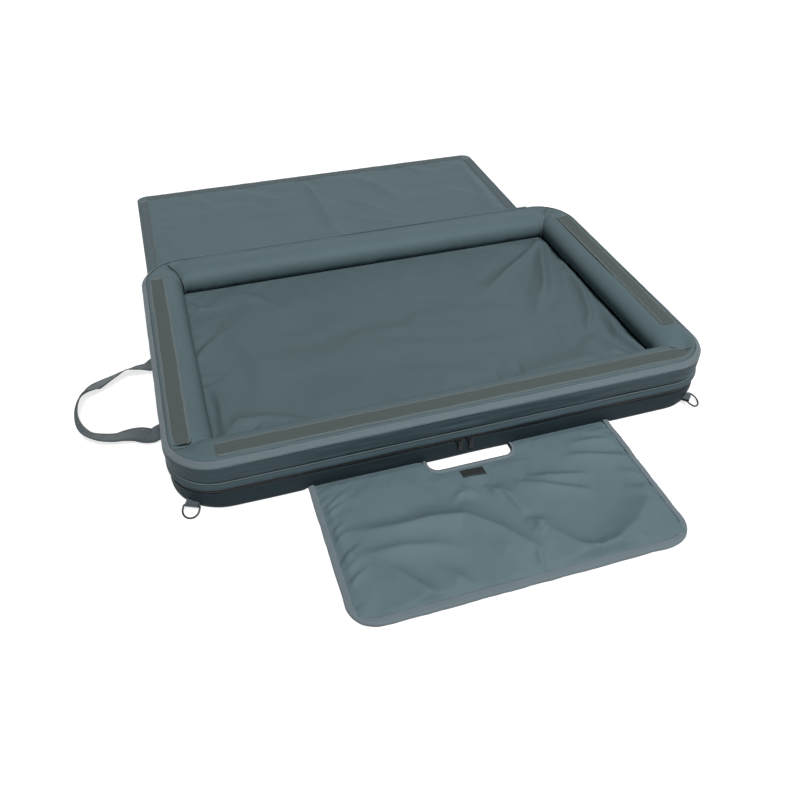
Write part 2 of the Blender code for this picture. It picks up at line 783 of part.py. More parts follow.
def make_liner():
    half_length = MAT_LENGTH / 2 - liner_inset()
    half_width = MAT_WIDTH / 2 - liner_inset()
    radius = CORNER_RADIUS - liner_inset()
    across = corner_lines(half_length, radius, LINER_STEPS_LONG)
    along = corner_lines(half_width, radius, LINER_STEPS_WIDE)
    sections = []
    for y in along:
        places = [drawn_in(x, y, half_length, half_width, radius) for x in across]
        sections.append([(*place, liner_height(*place)) for place in places])
    open_surface("floor_liner", surface(sections), "liner_fabric", LINER_THICKNESS, Vector((0.0, 0.0, -1.0)))


# Rear cover

def cover_ripple(x, y):
    """Underside of the cover's panel: it lies on the ground, with a raised fold line and low ripples."""
    along = y - COVER_PLANE
    left = x - COVER_OFFSET + COVER_WIDTH / 2
    right = COVER_OFFSET + COVER_WIDTH / 2 - x
    edge = min(left, right, along, COVER_REACH - along) - COVER_FLAT_EDGE
    flat = smooth_step(edge / COVER_FLAT_EDGE)
    crease = exp(-((x - COVER_CREASE_X) / COVER_CREASE_SPREAD) ** 2)
    wave = (1 + sin(2 * pi * (x / COVER_WAVE_LONG + along / COVER_WAVE_WIDE))) / 2
    return COVER_RIPPLE * flat * (crease + wave) / 2


def make_cover():
    front = COVER_PLANE - COVER_THICKNESS / 2
    back = COVER_PLANE + COVER_THICKNESS / 2
    low = COVER_BEND_HEIGHT + COVER_HINGE_GAP
    straight = MAT_LENGTH / 2 - CORNER_RADIUS
    bottom = (COVER_OFFSET - COVER_WIDTH / 2, COVER_OFFSET + COVER_WIDTH / 2, low)
    top = (-straight, straight, COVER_DROP_TOP)
    sections = [[(x0, front, z), (x1, front, z), (x1, back, z), (x0, back, z)] for x0, x1, z in (bottom, top)]
    bm = surface(sections, close_section=True, caps=True)
    bmesh.ops.recalc_face_normals(bm, faces=bm.faces)
    riser = mesh_object("cover_drop", bm, "cover_fabric", smooth=False)
    set_origin(riser, (COVER_OFFSET, COVER_PLANE, COVER_HINGE_HEIGHT))

    near = COVER_PLANE + COVER_HINGE_GAP
    far = COVER_PLANE + COVER_REACH
    left = COVER_OFFSET - COVER_WIDTH / 2
    centre = (COVER_OFFSET, (near + far) / 2)
    round_ends = rounded_outline(COVER_WIDTH, far - near, COVER_CORNER, centre=centre)
    half = len(round_ends) // 2
    outline = round_ends[:half] + [(left, near), (left + COVER_WIDTH, near)]
    across = spread(left - COVER_THICKNESS, left + COVER_WIDTH + COVER_THICKNESS, COVER_STEPS_LONG)
    along = spread(near - COVER_THICKNESS, far + COVER_THICKNESS, COVER_STEPS_WIDE)
    panel = sheet("cover_panel", across, along, cover_ripple, COVER_THICKNESS, outline, "cover_fabric")
    set_origin(panel, (COVER_OFFSET, COVER_PLANE, COVER_BEND_HEIGHT))
    make_hook_tapes(left, far)


def make_hook_tapes(left, far):
    """Hook tape on the face that meets the loop tape when the cover is closed."""
    floor = COVER_THICKNESS + CLEARANCE
    tape = HOOK_TAPE_WIDTH
    side_start = COVER_PLANE + COVER_FLAT_EDGE
    side_end = far - tape - CLEARANCE
    side_length = side_end - side_start
    far_length = COVER_WIDTH - 2 * COVER_CORNER
    places = {
        "left_hook_tape": (left + CLEARANCE, side_start, tape, side_length),
        "right_hook_tape": (left + COVER_WIDTH - tape - CLEARANCE, side_start, tape, side_length),
        "far_hook_tape": (left + COVER_CORNER, far - tape, far_length, tape - CLEARANCE),
    }
    for name, (x, y, length, width) in places.items():
        obj = prism(name, rectangle(x, y, length, width), floor, HOOK_TAPE_THICKNESS, "hook_tape")
        set_origin(obj, (COVER_OFFSET, COVER_PLANE, COVER_BEND_HEIGHT))


# Kneeling flap

def kneel_outline(inset=0.0, hole_margin=0.0):
    """The flap from above: straight at its root, round at its two front corners, with the hand hole."""
    left = KNEEL_OFFSET - KNEEL_WIDTH / 2 + inset
    right = KNEEL_OFFSET + KNEEL_WIDTH / 2 - inset
    centre = (KNEEL_OFFSET, KNEEL_ROOT - KNEEL_DEPTH / 2)
    whole = rounded_outline(KNEEL_WIDTH, KNEEL_DEPTH, KNEEL_CORNER, inset, centre)
    front = whole[len(whole) // 2:]
    points = [(left, KNEEL_ROOT)] + front + [(right, KNEEL_ROOT)]
    return points + hole_edge(hole_margin)


def hole_edge(margin=0.0):
    """The hand hole's edge, from right to left, grown by the margin."""
    half = HAND_HOLE_WIDTH / 2 + margin
    depth = KNEEL_ROOT - HAND_HOLE_DEPTH - margin
    corner = HAND_HOLE_CORNER + margin
    points = [(HAND_HOLE_OFFSET + half, KNEEL_ROOT)]
    for start, side in ((0.0, 1), (-90.0, -1)):
        for step in range(CORNER_STEPS + 1):
            angle = radians(start - 90.0 * step / CORNER_STEPS)
            x = HAND_HOLE_OFFSET + side * (half - corner) + corner * cos(angle)
            points.append((x, depth + corner + corner * sin(angle)))
    points.append((HAND_HOLE_OFFSET - half, KNEEL_ROOT))
    return points


def hole_distance(x, y):
    """Distance from a point of the flap to the hand hole."""
    aside = max(abs(x - HAND_HOLE_OFFSET) - HAND_HOLE_WIDTH / 2, 0.0)
    ahead = max(KNEEL_ROOT - HAND_HOLE_DEPTH - y, 0.0)
    return hypot(aside, ahead)


def kneel_top(x, y):
    """Underside of the flap's top sheet, crowned over its foam and with three soft folds."""
    side = KNEEL_WIDTH / 2 - abs(x - KNEEL_OFFSET)
    front = y - (KNEEL_ROOT - KNEEL_DEPTH)
    edge = min(side, front, hole_distance(x, y)) - KNEEL_BINDING - CLEARANCE
    root = KNEEL_ROOT - y
    flat = smooth_step(min(edge, root) / KNEEL_CROWN_REACH)
    folds = 0.0
    for place, slope in KNEEL_FOLD_SHARES:
        middle = KNEEL_OFFSET + place * KNEEL_WIDTH / 2 + slope * (front - KNEEL_DEPTH / 2)
        across = (x - middle) / KNEEL_FOLD_SPREAD
        folds += exp(-across * across)
    low = KNEEL_EDGE_TOP - KNEEL_SHEET
    return low + flat * (KNEEL_CROWN + KNEEL_FOLD_HEIGHT * folds)


def kneel_lines():
    """Grid lines of the flap's top sheet, with one along every binding's inner edge."""
    margin = KNEEL_BINDING + CLEARANCE
    left = KNEEL_OFFSET - KNEEL_WIDTH / 2
    right = KNEEL_OFFSET + KNEEL_WIDTH / 2
    hole_left = HAND_HOLE_OFFSET - HAND_HOLE_WIDTH / 2 - margin
    hole_right = HAND_HOLE_OFFSET + HAND_HOLE_WIDTH / 2 + margin
    across = [left - KNEEL_SHEET] + spread(left + margin, hole_left, KNEEL_STEPS_SIDE)
    across += spread(hole_left, hole_right, KNEEL_STEPS_HOLE)[1:]
    across += spread(hole_right, right - margin, KNEEL_STEPS_SIDE)[1:] + [right + KNEEL_SHEET]
    front = KNEEL_ROOT - KNEEL_DEPTH
    hole_front = KNEEL_ROOT - HAND_HOLE_DEPTH - margin
    along = [front - KNEEL_SHEET] + spread(front + margin, hole_front, KNEEL_STEPS_FRONT)
    along += spread(hole_front, KNEEL_ROOT, KNEEL_STEPS_ROOT)[1:] + [KNEEL_ROOT + KNEEL_SHEET]
    return across, along


def edge_binding(name, path, width, turn):
    """Binding tape folded over an edge: down the side and in over the top by its width."""
    thick = KNEEL_BINDING_THICKNESS
    top = KNEEL_EDGE_TOP + CLEARANCE + thick
    rows = [
        (-CLEARANCE - thick, KNEEL_BINDING_LIFT),
        (-CLEARANCE - thick, top - thick / 2),
        (-CLEARANCE - thick / 2, top),
        (width, top),
    ]
    sections = [[(x, y, height) for x, y in path(inset * turn)] for inset, height in rows]
    obj = open_surface(name, surface(sections), "binding_webbing", thick, Vector((0.0, 0.0, 1.0)))
    return obj


def make_kneeling_flap():
    hinge = (KNEEL_OFFSET, KNEEL_ROOT, KNEEL_HINGE_HEIGHT)
    foam_low = KNEEL_SHEET + CLEARANCE
    bottom = prism("kneel_underside", kneel_outline(), 0.0, KNEEL_SHEET, "base_fabric")
    foam = prism("kneel_foam", kneel_outline(CLEARANCE, CLEARANCE), foam_low, KNEEL_FOAM, "foam")
    across, along = kneel_lines()
    top = sheet("kneel_top", across, along, kneel_top, KNEEL_SHEET, kneel_outline(), "cover_fabric")

    def outer_path(inset):
        points = kneel_outline(inset)
        count = len(points) - len(hole_edge())
        return points[:count]

    def hole_path(inset):
        return hole_edge(inset)

    outer = edge_binding("kneel_binding", outer_path, KNEEL_BINDING, 1)
    hole = edge_binding("hand_hole_binding", hole_path, HAND_HOLE_BINDING, 1)

    patch_near = KNEEL_ROOT - HAND_HOLE_DEPTH - PATCH_GAP - PATCH_DEPTH
    outline = rectangle(PATCH_OFFSET - PATCH_WIDTH / 2, patch_near, PATCH_WIDTH, PATCH_DEPTH)
    height = max(kneel_top(x, y) for x, y in outline) + KNEEL_SHEET + CLEARANCE
    patch = prism("blank_patch", outline, height, PATCH_THICKNESS, "patch_cloth")
    for obj in (bottom, foam, top, outer, hole, patch):
        set_origin(obj, hinge)


# Side handle

def spline_point(points, index, share):
    """A point on the smooth curve through a list of points."""
    last = len(points) - 1
    p0 = points[max(index - 1, 0)]
    p1 = points[index]
    p2 = points[index + 1]
    p3 = points[min(index + 2, last)]
    square = share * share
    cube = square * share
    return 0.5 * (2 * p1 + (p2 - p0) * share + (2 * p0 - 5 * p1 + 4 * p2 - p3) * square
                  + (3 * p1 - p0 - 3 * p2 + p3) * cube)


def strap_stations():
    """The strap's centre line, with its lean, as a smooth curve through its route."""
    route = [Vector((x - MAT_LENGTH / 2, y, lean)) for x, y, lean in STRAP_ROUTE]
    stations = []
    for index in range(len(route) - 1):
        for step in range(STRAP_STEPS):
            stations.append(spline_point(route, index, step / STRAP_STEPS))
    stations.append(route[-1])
    return stations


def make_handle():
    stations = strap_stations()
    first = stations[0]
    last = stations[-1]
    half = STRAP_WIDTH / 2
    sections = []
    for index, (x, y, lean) in enumerate(stations):
        before = stations[max(index - 1, 0)]
        after = stations[min(index + 1, len(stations) - 1)]
        heading = Vector((after[0] - before[0], after[1] - before[1])).normalized()
        if index in (0, len(stations) - 1):
            heading = Vector((-1.0, 0.0)) if index == 0 else Vector((1.0, 0.0))
        aside = Vector((-heading.y, heading.x, 0.0)) * cos(radians(lean))
        across = aside + Vector((0.0, 0.0, sin(radians(lean))))
        low = half * abs(sin(radians(lean))) + STRAP_THICKNESS
        tip = min(hypot(x - first[0], y - first[1]), hypot(x - last[0], y - last[1]))
        end = smooth_step(1.0 - tip / ANCHOR_REACH)
        centre = Vector((x, y, max(low, STRAP_HEIGHT * end)))
        sections.append([centre - across * half, centre + across * half])
    bm = surface(sections)
    bmesh.ops.recalc_face_normals(bm, faces=bm.faces)
    strap = mesh_object("side_handle", bm, "strap_webbing")
    solidify(strap, STRAP_THICKNESS, 0)
    hinge_x = -MAT_LENGTH / 2 - BASE_BULGE - CLEARANCE - STRAP_THICKNESS - CLEARANCE
    set_origin(strap, (hinge_x, 0.0, STRAP_HEIGHT + STRAP_THICKNESS / 2))
    for name, y in (("handle_anchor_front", first[1]), ("handle_anchor_rear", last[1])):
        x = -MAT_LENGTH / 2 - BASE_BULGE - CLEARANCE - STRAP_THICKNESS / 2
        z = ANCHOR_LIFT + ANCHOR_HEIGHT / 2
        size = (STRAP_THICKNESS, STRAP_WIDTH, ANCHOR_HEIGHT)
        rounded_box(name, size, (x, y, z), STRAP_THICKNESS / 4, "strap_webbing")


# D-rings

def ring_frame(side):
    """Where a D-ring's bar lies: its centre, its heading away from the mat and its corner's middle."""
    side_x, place, heading = RING_PLACES[side]
    middle = Vector((side_x * (MAT_LENGTH / 2 - CORNER_RADIUS), -(MAT_WIDTH / 2 - CORNER_RADIUS), 0.0))
    turn = radians(place)
    reach = CORNER_RADIUS + BASE_BULGE + RING_STANDOFF
    centre = middle + Vector((cos(turn), sin(turn), 0.0)) * reach
    centre.z = RING_HEIGHT
    way = radians(heading)
    return centre, Vector((cos(way), sin(way), 0.0)), middle


def make_ring(side):
    centre, outward, _ = ring_frame(side)
    across = Vector((-outward.y, outward.x, 0.0))
    tilt = radians(RING_TILT_DEGREES)
    down = outward * cos(tilt) - Vector((0.0, 0.0, 1.0)) * sin(tilt)
    flat = [(0.0, -RING_HALF_WIDTH), (RING_LEG, -RING_HALF_WIDTH)]
    for step in range(1, RING_STEPS):
        angle = -pi / 2 + pi * step / RING_STEPS
        flat.append((RING_LEG + RING_HALF_WIDTH * cos(angle), RING_HALF_WIDTH * sin(angle)))
    flat += [(RING_LEG, RING_HALF_WIDTH), (0.0, RING_HALF_WIDTH)]
    points = [down * out + across * aside for out, aside in flat]
    ring = wire("d_ring_" + side, points, RING_WIRE, "ring_metal", closed=True, resolution=2)
    ring.location = centre


def make_ring_tab(side):
    """Webbing that leaves the base's side, folds round the ring's bar and goes back."""
    centre, outward, middle = ring_frame(side)
    across = Vector((-outward.y, outward.x, 0.0))
    wrap = RING_WIRE + CLEARANCE + TAB_THICKNESS / 2
    edge = CORNER_RADIUS + BASE_BULGE + CLEARANCE
    sections = []
    for step in range(TAB_STEPS_WIDE + 1):
        aside = across * TAB_WIDTH * (step / TAB_STEPS_WIDE - 0.5)
        start = centre + aside - middle
        start.z = 0.0
        ahead = start.dot(outward)
        back = -ahead + sqrt(edge * edge - start.length_squared + ahead * ahead)
        line = [(back, wrap)]
        for turn in range(TAB_STEPS_ROUND + 1):
            angle = pi / 2 - pi * turn / TAB_STEPS_ROUND
            line.append((wrap * cos(angle), wrap * sin(angle)))
        line.append((back, -wrap))
        sections.append([centre + aside + outward * out + Vector((0.0, 0.0, up)) for out, up in line])
    bm = surface(sections)
    obj = mesh_object("ring_tab_" + side, bm, "strap_webbing")
    solidify(obj, TAB_THICKNESS, 0)


make_base()
make_zip_tapes()
for side, sign in (("left", -1), ("right", 1)):
    pivot = make_slider("zip_slider_" + side, sign * SLIDER_SPACING / 2)
    make_pull("zip_pull_" + side, pivot)
    make_ring(side)
    make_ring_tab(side)
make_tray_shell()
make_walls()
make_rim_binding()
make_loop_tapes()
make_liner()
make_cover()
make_kneeling_flap()
make_handle()
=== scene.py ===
"""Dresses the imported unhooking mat: cloth, padding, webbing, tapes, stitching, light and camera.

Lengths are in metres, in the same frame as the solids: X along the mat, Y to the rear, Z up.
Only the tables of folds are in millimetres.
"""

from json import dumps
from math import cos, pi, radians, sin

import bpy
import numpy as np
from mathutils import Matrix, Vector


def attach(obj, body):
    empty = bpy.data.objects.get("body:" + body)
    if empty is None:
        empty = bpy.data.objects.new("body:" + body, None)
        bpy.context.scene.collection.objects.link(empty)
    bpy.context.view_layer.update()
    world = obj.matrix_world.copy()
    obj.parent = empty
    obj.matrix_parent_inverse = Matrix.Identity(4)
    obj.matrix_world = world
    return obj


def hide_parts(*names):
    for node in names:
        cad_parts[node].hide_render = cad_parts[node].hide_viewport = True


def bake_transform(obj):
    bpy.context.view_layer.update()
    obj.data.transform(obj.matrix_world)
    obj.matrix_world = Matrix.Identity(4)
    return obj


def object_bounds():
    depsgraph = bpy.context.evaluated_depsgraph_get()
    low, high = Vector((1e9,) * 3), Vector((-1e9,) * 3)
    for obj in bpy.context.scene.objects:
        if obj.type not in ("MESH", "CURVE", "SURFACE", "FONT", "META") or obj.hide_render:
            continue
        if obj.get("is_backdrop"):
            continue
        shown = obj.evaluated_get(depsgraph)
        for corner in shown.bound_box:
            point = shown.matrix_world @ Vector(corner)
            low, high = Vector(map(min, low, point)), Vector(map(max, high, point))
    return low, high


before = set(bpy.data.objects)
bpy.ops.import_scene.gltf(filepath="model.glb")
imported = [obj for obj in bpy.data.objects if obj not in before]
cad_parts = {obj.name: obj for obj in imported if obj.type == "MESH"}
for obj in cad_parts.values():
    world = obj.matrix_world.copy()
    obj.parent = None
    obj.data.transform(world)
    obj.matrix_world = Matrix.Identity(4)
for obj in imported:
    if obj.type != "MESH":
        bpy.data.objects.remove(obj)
CAD_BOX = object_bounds()

# Sizes, mostly those of the solids
LENGTH = 1.000
WIDTH = 0.661
RADIUS = 0.085
OUTLINE = 2 * (LENGTH + WIDTH) - 8 * RADIUS + 2 * pi * RADIUS
BASE_TOP = 0.035
BAND_BOTTOM = 0.0439
SEAM_HEIGHT = 0.05905
RIM_SEAM = 0.0944
RIM_INSET = 0.0018
WALL_HALF = 0.040
WALL_MIDDLE = 0.0752
WALL_DEPTH = 0.030
WALL_FOOT = 0.0505
OUTER_POWER = 4.0
INNER_POWER = 2.2
COVER_PLANE = 0.3336
COVER_TOP = 0.0985
COVER_REACH = 0.5365
COVER_LEFT = -0.494
COVER_RIGHT = 0.478
COVER_HALF_TOP = 0.415
KNEEL_ROOT = -0.3310
KNEEL_LEFT = -0.281
KNEEL_RIGHT = 0.284
KNEEL_DEPTH = 0.2935
KNEEL_CORNER = 0.045
KNEEL_EDGE = 0.0068
HOLE_LEFT = -0.0775
HOLE_RIGHT = 0.0890
HOLE_DEPTH = 0.0362
HOLE_CORNER = 0.024
STRAP_HALF = 0.019
STRAP_THICK = 0.0018
ANCHOR_SPAN = (0.004, 0.028)
RING_WIRE = 0.0016
PATCH_SIDES = (-0.0255, 0.0175, -0.3940, -0.3740)
LINER_INSET = 0.0675
LINER_CORNER = 0.0175
LINER_LEVEL = 0.0534
LINER_LEAST = 0.0512
WALL_SINK = 0.0060
MITRES = {"rear_right": 56.25, "rear_left": 112.5, "front_left": 213.75, "front_right": 326.25}
CORNERS = {"rear_right": (1, 1, 0.0), "rear_left": (-1, 1, 90.0), "front_left": (-1, -1, 180.0),
           "front_right": (1, -1, 270.0)}


# Number tools

def hashed(cell, seed):
    value = (cell[..., 0] * 374761393 + cell[..., 1] * 668265263 + cell[..., 2] * 2147483647 + seed * 974711)
    value = (value ^ (value >> 13)) * 1274126177
    value = value ^ (value >> 16)
    return (value & 0xFFFFFF) / float(0xFFFFFF) * 2.0 - 1.0


def noise(points, size, seed=0):
    """Smooth noise between -1 and 1 with cells of the given size."""
    scaled = np.asarray(points, float) / size
    cell = np.floor(scaled).astype(np.int64)
    part = scaled - cell
    part = part * part * (3 - 2 * part)
    total = 0.0
    for corner in np.ndindex(2, 2, 2):
        weight = 1.0
        for axis, side in enumerate(corner):
            weight = weight * (part[..., axis] if side else 1 - part[..., axis])
        total = total + weight * hashed(cell + np.array(corner), seed)
    return total


def noise2(u, v, size, seed=0):
    """Noise on a plane: u and v in metres, size a pair of cell sizes."""
    u, v = np.broadcast_arrays(u, v)
    return noise(np.stack([u / size[0], v / size[1], np.full(u.shape, 0.37)], -1), 1.0, seed)


def smooth(value):
    value = np.clip(value, 0.0, 1.0)
    return value * value * (3 - 2 * value)


def bell(value, spread):
    return np.exp(-(value / spread) ** 2)


# Mesh tools

def placed(name, data):
    """An object in the scene for some data."""
    obj = bpy.data.objects.new(name, data)
    bpy.context.scene.collection.objects.link(obj)
    return obj


def make_mesh(name, points, faces, uvs, material):
    mesh = bpy.data.meshes.new(name)
    mesh.from_pydata([tuple(point) for point in points], [], [tuple(face) for face in faces])
    layer = mesh.uv_layers.new(name="UVMap")
    loops = np.empty(len(mesh.loops), np.int64)
    mesh.loops.foreach_get("vertex_index", loops)
    layer.data.foreach_set("uv", np.asarray(uvs, float).reshape(-1, 2)[loops].ravel())
    mesh.shade_smooth()
    mesh.materials.append(material)
    return placed(name, mesh)


def skin(name, grid, uv, material, wrap=False, cross_wrap=False, caps=False, flip=False):
    """A surface from an array of points [row, column, xyz], with UVs in metres."""
    rows, columns = grid.shape[:2]
    points = grid.reshape(-1, 3)
    uvs = uv.reshape(-1, 2)
    faces = []
    for row in range(rows - (0 if wrap else 1)):
        after = (row + 1) % rows
        for column in range(columns - (0 if cross_wrap else 1)):
            side = (column + 1) % columns
            face = (row * columns + column, after * columns + column, after * columns + side,
                    row * columns + side)
            faces.append(face[::-1] if flip else face)
    if caps:
        first = tuple(range(columns))
        last = tuple((rows - 1) * columns + column for column in range(columns))
        faces.append(first if not flip else first[::-1])
        faces.append(last[::-1] if not flip else last)
    return make_mesh(name, points, faces, uvs, material)


def thicken(obj, thickness, offset=-1.0):
    modifier = obj.modifiers.new("thickness", "SOLIDIFY")
    modifier.thickness = thickness
    modifier.offset = offset
    return obj


def applied(obj):
    """Makes an object's modifiers part of its mesh."""
    bpy.context.view_layer.update()
    depsgraph = bpy.context.evaluated_depsgraph_get()
    mesh = bpy.data.meshes.new_from_object(obj.evaluated_get(depsgraph))
    obj.modifiers.clear()
    obj.data = mesh
    return obj


def lengths_along(points):
    steps = np.linalg.norm(np.diff(points, axis=0), axis=1)
    return np.concatenate([[0.0], np.cumsum(steps)])


def resample(points, spacing):
    """Even points along a line, at about the given spacing."""
    points = np.asarray(points, float)
    along = lengths_along(points)
    count = max(int(round(along[-1] / spacing)), 2)
    target = np.linspace(0.0, along[-1], count + 1)
    return np.stack([np.interp(target, along, points[:, axis]) for axis in range(points.shape[1])], 1)


def stitches(name, path, lift, body, material, length=0.0034, gap=0.0012, width=0.0007, height=0.0005):
    """A row of thread stitches along a path of points and normals."""
    points = np.array([item[0] for item in path], float)
    normals = np.array([item[1] for item in path], float)
    along = lengths_along(points)
    count = int(along[-1] / (length + gap))
    verts, faces, uvs = [], [], []
    for index in range(count):
        start = index * (length + gap) + gap / 2
        marks = np.array([start, start + length * 0.25, start + length * 0.75, start + length])
        places = np.stack([np.interp(marks, along, points[:, axis]) for axis in range(3)], 1)
        ups = np.stack([np.interp(marks, along, normals[:, axis]) for axis in range(3)], 1)
        ups /= np.linalg.norm(ups, axis=1)[:, None]
        heading = places[3] - places[0]
        heading /= np.linalg.norm(heading)
        base = len(verts)
        for place, up, rise in zip(places, ups, (-0.4, 1.0, 1.0, -0.4)):
            aside = np.cross(heading, up)
            centre = place + up * lift
            verts += [centre - aside * width / 2 - up * height * 0.4,
                      centre - aside * width / 4 + up * height * rise,
                      centre + aside * width / 4 + up * height * rise,
                      centre + aside * width / 2 - up * height * 0.4]
            uvs += [(0, 0)] * 4
        for ring in range(3):
            for side in range(3):
                a = base + ring * 4 + side
                faces.append((a, a + 4, a + 5, a + 1))
    obj = make_mesh(name, verts, faces, uvs, material)
    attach(obj, body)
    return obj


# Materials

class Nodes:
    """Builds one material's nodes."""

    def __init__(self, name, colour, roughness, metallic=0.0, sheen=0.0, specular=0.5):
        self.material = bpy.data.materials.new(name)
        self.material.use_nodes = True
        self.tree = self.material.node_tree
        self.shader = self.tree.nodes["Principled BSDF"]
        self.colour = colour
        self.height = None
        for key, value in (("Base Color", (*colour, 1.0)), ("Roughness", roughness), ("Metallic", metallic),
                           ("Specular IOR Level", specular), ("Sheen Weight", sheen),
                           ("Sheen Roughness", 0.4)):
            self.shader.inputs[key].default_value = value

    def feed(self, socket, value):
        """Links an output to a socket, or sets the socket's own value."""
        if hasattr(value, "is_output"):
            self.tree.links.new(value, socket)
        else:
            socket.default_value = value

    def add(self, kind, **inputs):
        node = self.tree.nodes.new(kind)
        for key, value in inputs.items():
            self.feed(node.inputs[key], value)
        return node

    def math(self, operation, *values):
        node = self.add("ShaderNodeMath")
        node.operation = operation
        for socket, value in zip(node.inputs, values):
            self.feed(socket, value)
        return node.outputs[0]

    def coordinates(self, kind):
        return self.add("ShaderNodeTexCoord").outputs[kind]

    def lengths(self):
        """The surface's own two lengths, in metres."""
        return self.add("ShaderNodeSeparateXYZ", Vector=self.coordinates("UV")).outputs[:2]

    def noise(self, vector, scale, detail, roughness):
        node = self.add("ShaderNodeTexNoise", Vector=vector, Scale=scale, Detail=detail, Roughness=roughness)
        return node.outputs[0]

    def raise_by(self, value, amount):
        """Adds a value times an amount in metres to the surface's height."""
        part = self.math("MULTIPLY", value, amount)
        self.height = part if self.height is None else self.math("ADD", self.height, part)

    def tint(self, value, low, high):
        """Turns a value from 0 to 1 into one from low to high."""
        return self.add("ShaderNodeMapRange", **{"Value": value, "To Min": low, "To Max": high}).outputs[0]

    def finish(self, tints, rough=None):
        """Tints the colour by the product of some factors and turns the height into bumps."""
        factor = tints[0]
        for item in tints[1:]:
            factor = self.math("MULTIPLY", factor, item)
        mix = self.add("ShaderNodeVectorMath")
        mix.operation = "SCALE"
        self.feed(mix.inputs[0], self.colour)
        self.feed(mix.inputs["Scale"], factor)
        self.feed(self.shader.inputs["Base Color"], mix.outputs[0])
        if rough is not None:
            self.feed(self.shader.inputs["Roughness"], rough)
        bump = self.add("ShaderNodeBump", Distance=1.0, Strength=1.0, Height=self.height)
        self.feed(self.shader.inputs["Normal"], bump.outputs[0])
        return self.material


def cloth(name, colour, roughness, crinkle, crinkle_scale, thread=0.0007, sheen=0.0, specular=0.07):
    """Coated polyester: a fine plain weave, soft crinkles and slightly uneven sheen."""
    made = Nodes(name, colour, roughness, sheen=sheen, specular=specular)
    warp, weft = [made.math("SINE", made.math("MULTIPLY", part, pi / thread)) for part in made.lengths()]
    made.raise_by(made.math("MULTIPLY", warp, weft), 0.00006)
    place = made.coordinates("Object")
    made.raise_by(made.noise(place, crinkle_scale, 2.0, 0.5), crinkle)
    made.raise_by(made.noise(place, crinkle_scale * 5.0, 3.0, 0.6), crinkle * 0.16)
    broad = made.noise(place, 7.0, 3.0, 0.55)
    speck = made.noise(place, 900.0, 2.0, 0.6)
    tints = (made.tint(broad, 0.90, 1.10), made.tint(speck, 0.92, 1.08))
    return made.finish(tints, made.tint(broad, roughness - 0.05, roughness + 0.05))


def webbing(name, colour, pitch=0.0016, rib=0.0026, depth=0.00025, roughness=0.62):
    """Woven tape: ribs across, threads in a chevron along it."""
    made = Nodes(name, colour, roughness, sheen=0.15, specular=0.35)
    u, v = made.lengths()
    zigzag = made.math("PINGPONG", v, rib)
    wave = made.math("SINE", made.math("MULTIPLY", made.math("ADD", u, zigzag), 2 * pi / pitch))
    made.raise_by(wave, depth)
    place = made.coordinates("Object")
    broad = made.noise(place, 25.0, 3.0, 0.6)
    made.raise_by(made.noise(place, 1400.0, 2.0, 0.7), depth * 0.6)
    # the ribs' troughs are painted darker and their crests lighter: painted shade and highlight of the weave
    painted_rib_shade = made.tint(made.math("MULTIPLY_ADD", wave, 0.5, 0.5), 0.84, 1.10)
    return made.finish((painted_rib_shade, made.tint(broad, 0.92, 1.08)))


def napped(name, colour):
    """Loop or hook tape: a close nap of tiny fibres."""
    made = Nodes(name, colour, 0.95, sheen=0.35, specular=0.15)
    place = made.coordinates("Object")
    nap = made.noise(place, 700.0, 4.0, 0.75)
    clumps = made.noise(place, 160.0, 3.0, 0.6)
    made.raise_by(nap, 0.0009)
    made.raise_by(clumps, 0.0007)
    return made.finish((made.tint(nap, 0.55, 1.45), made.tint(clumps, 0.85, 1.15)))


def coated_metal(name, colour, roughness):
    made = Nodes(name, colour, roughness, metallic=0.6, specular=0.6)
    wear = made.noise(made.coordinates("Object"), 300.0, 4.0, 0.7)
    made.raise_by(wear, 0.00005)
    return made.finish((made.tint(wear, 0.7, 1.4),), made.tint(wear, roughness - 0.08, roughness + 0.12))


def zip_cloth(name, colour):
    """Zip tape with its coil: close round teeth across the tape's edge."""
    made = Nodes(name, colour, 0.5, sheen=0.05, specular=0.5)
    teeth = made.math("SINE", made.math("MULTIPLY", made.lengths()[0], 2 * pi / 0.0022))
    made.raise_by(teeth, 0.0004)
    # the teeth are painted lighter and the gaps between them darker: painted highlight and shade of the coil
    return made.finish((made.tint(made.math("MULTIPLY_ADD", teeth, 0.5, 0.5), 0.6, 1.3),))


def moulding(name, colour):
    made = Nodes(name, colour, 0.55, specular=0.4)
    grain = made.noise(made.coordinates("Object"), 1200.0, 2.0, 0.6)
    made.raise_by(grain, 0.00006)
    return made.finish((made.tint(grain, 0.85, 1.15),))


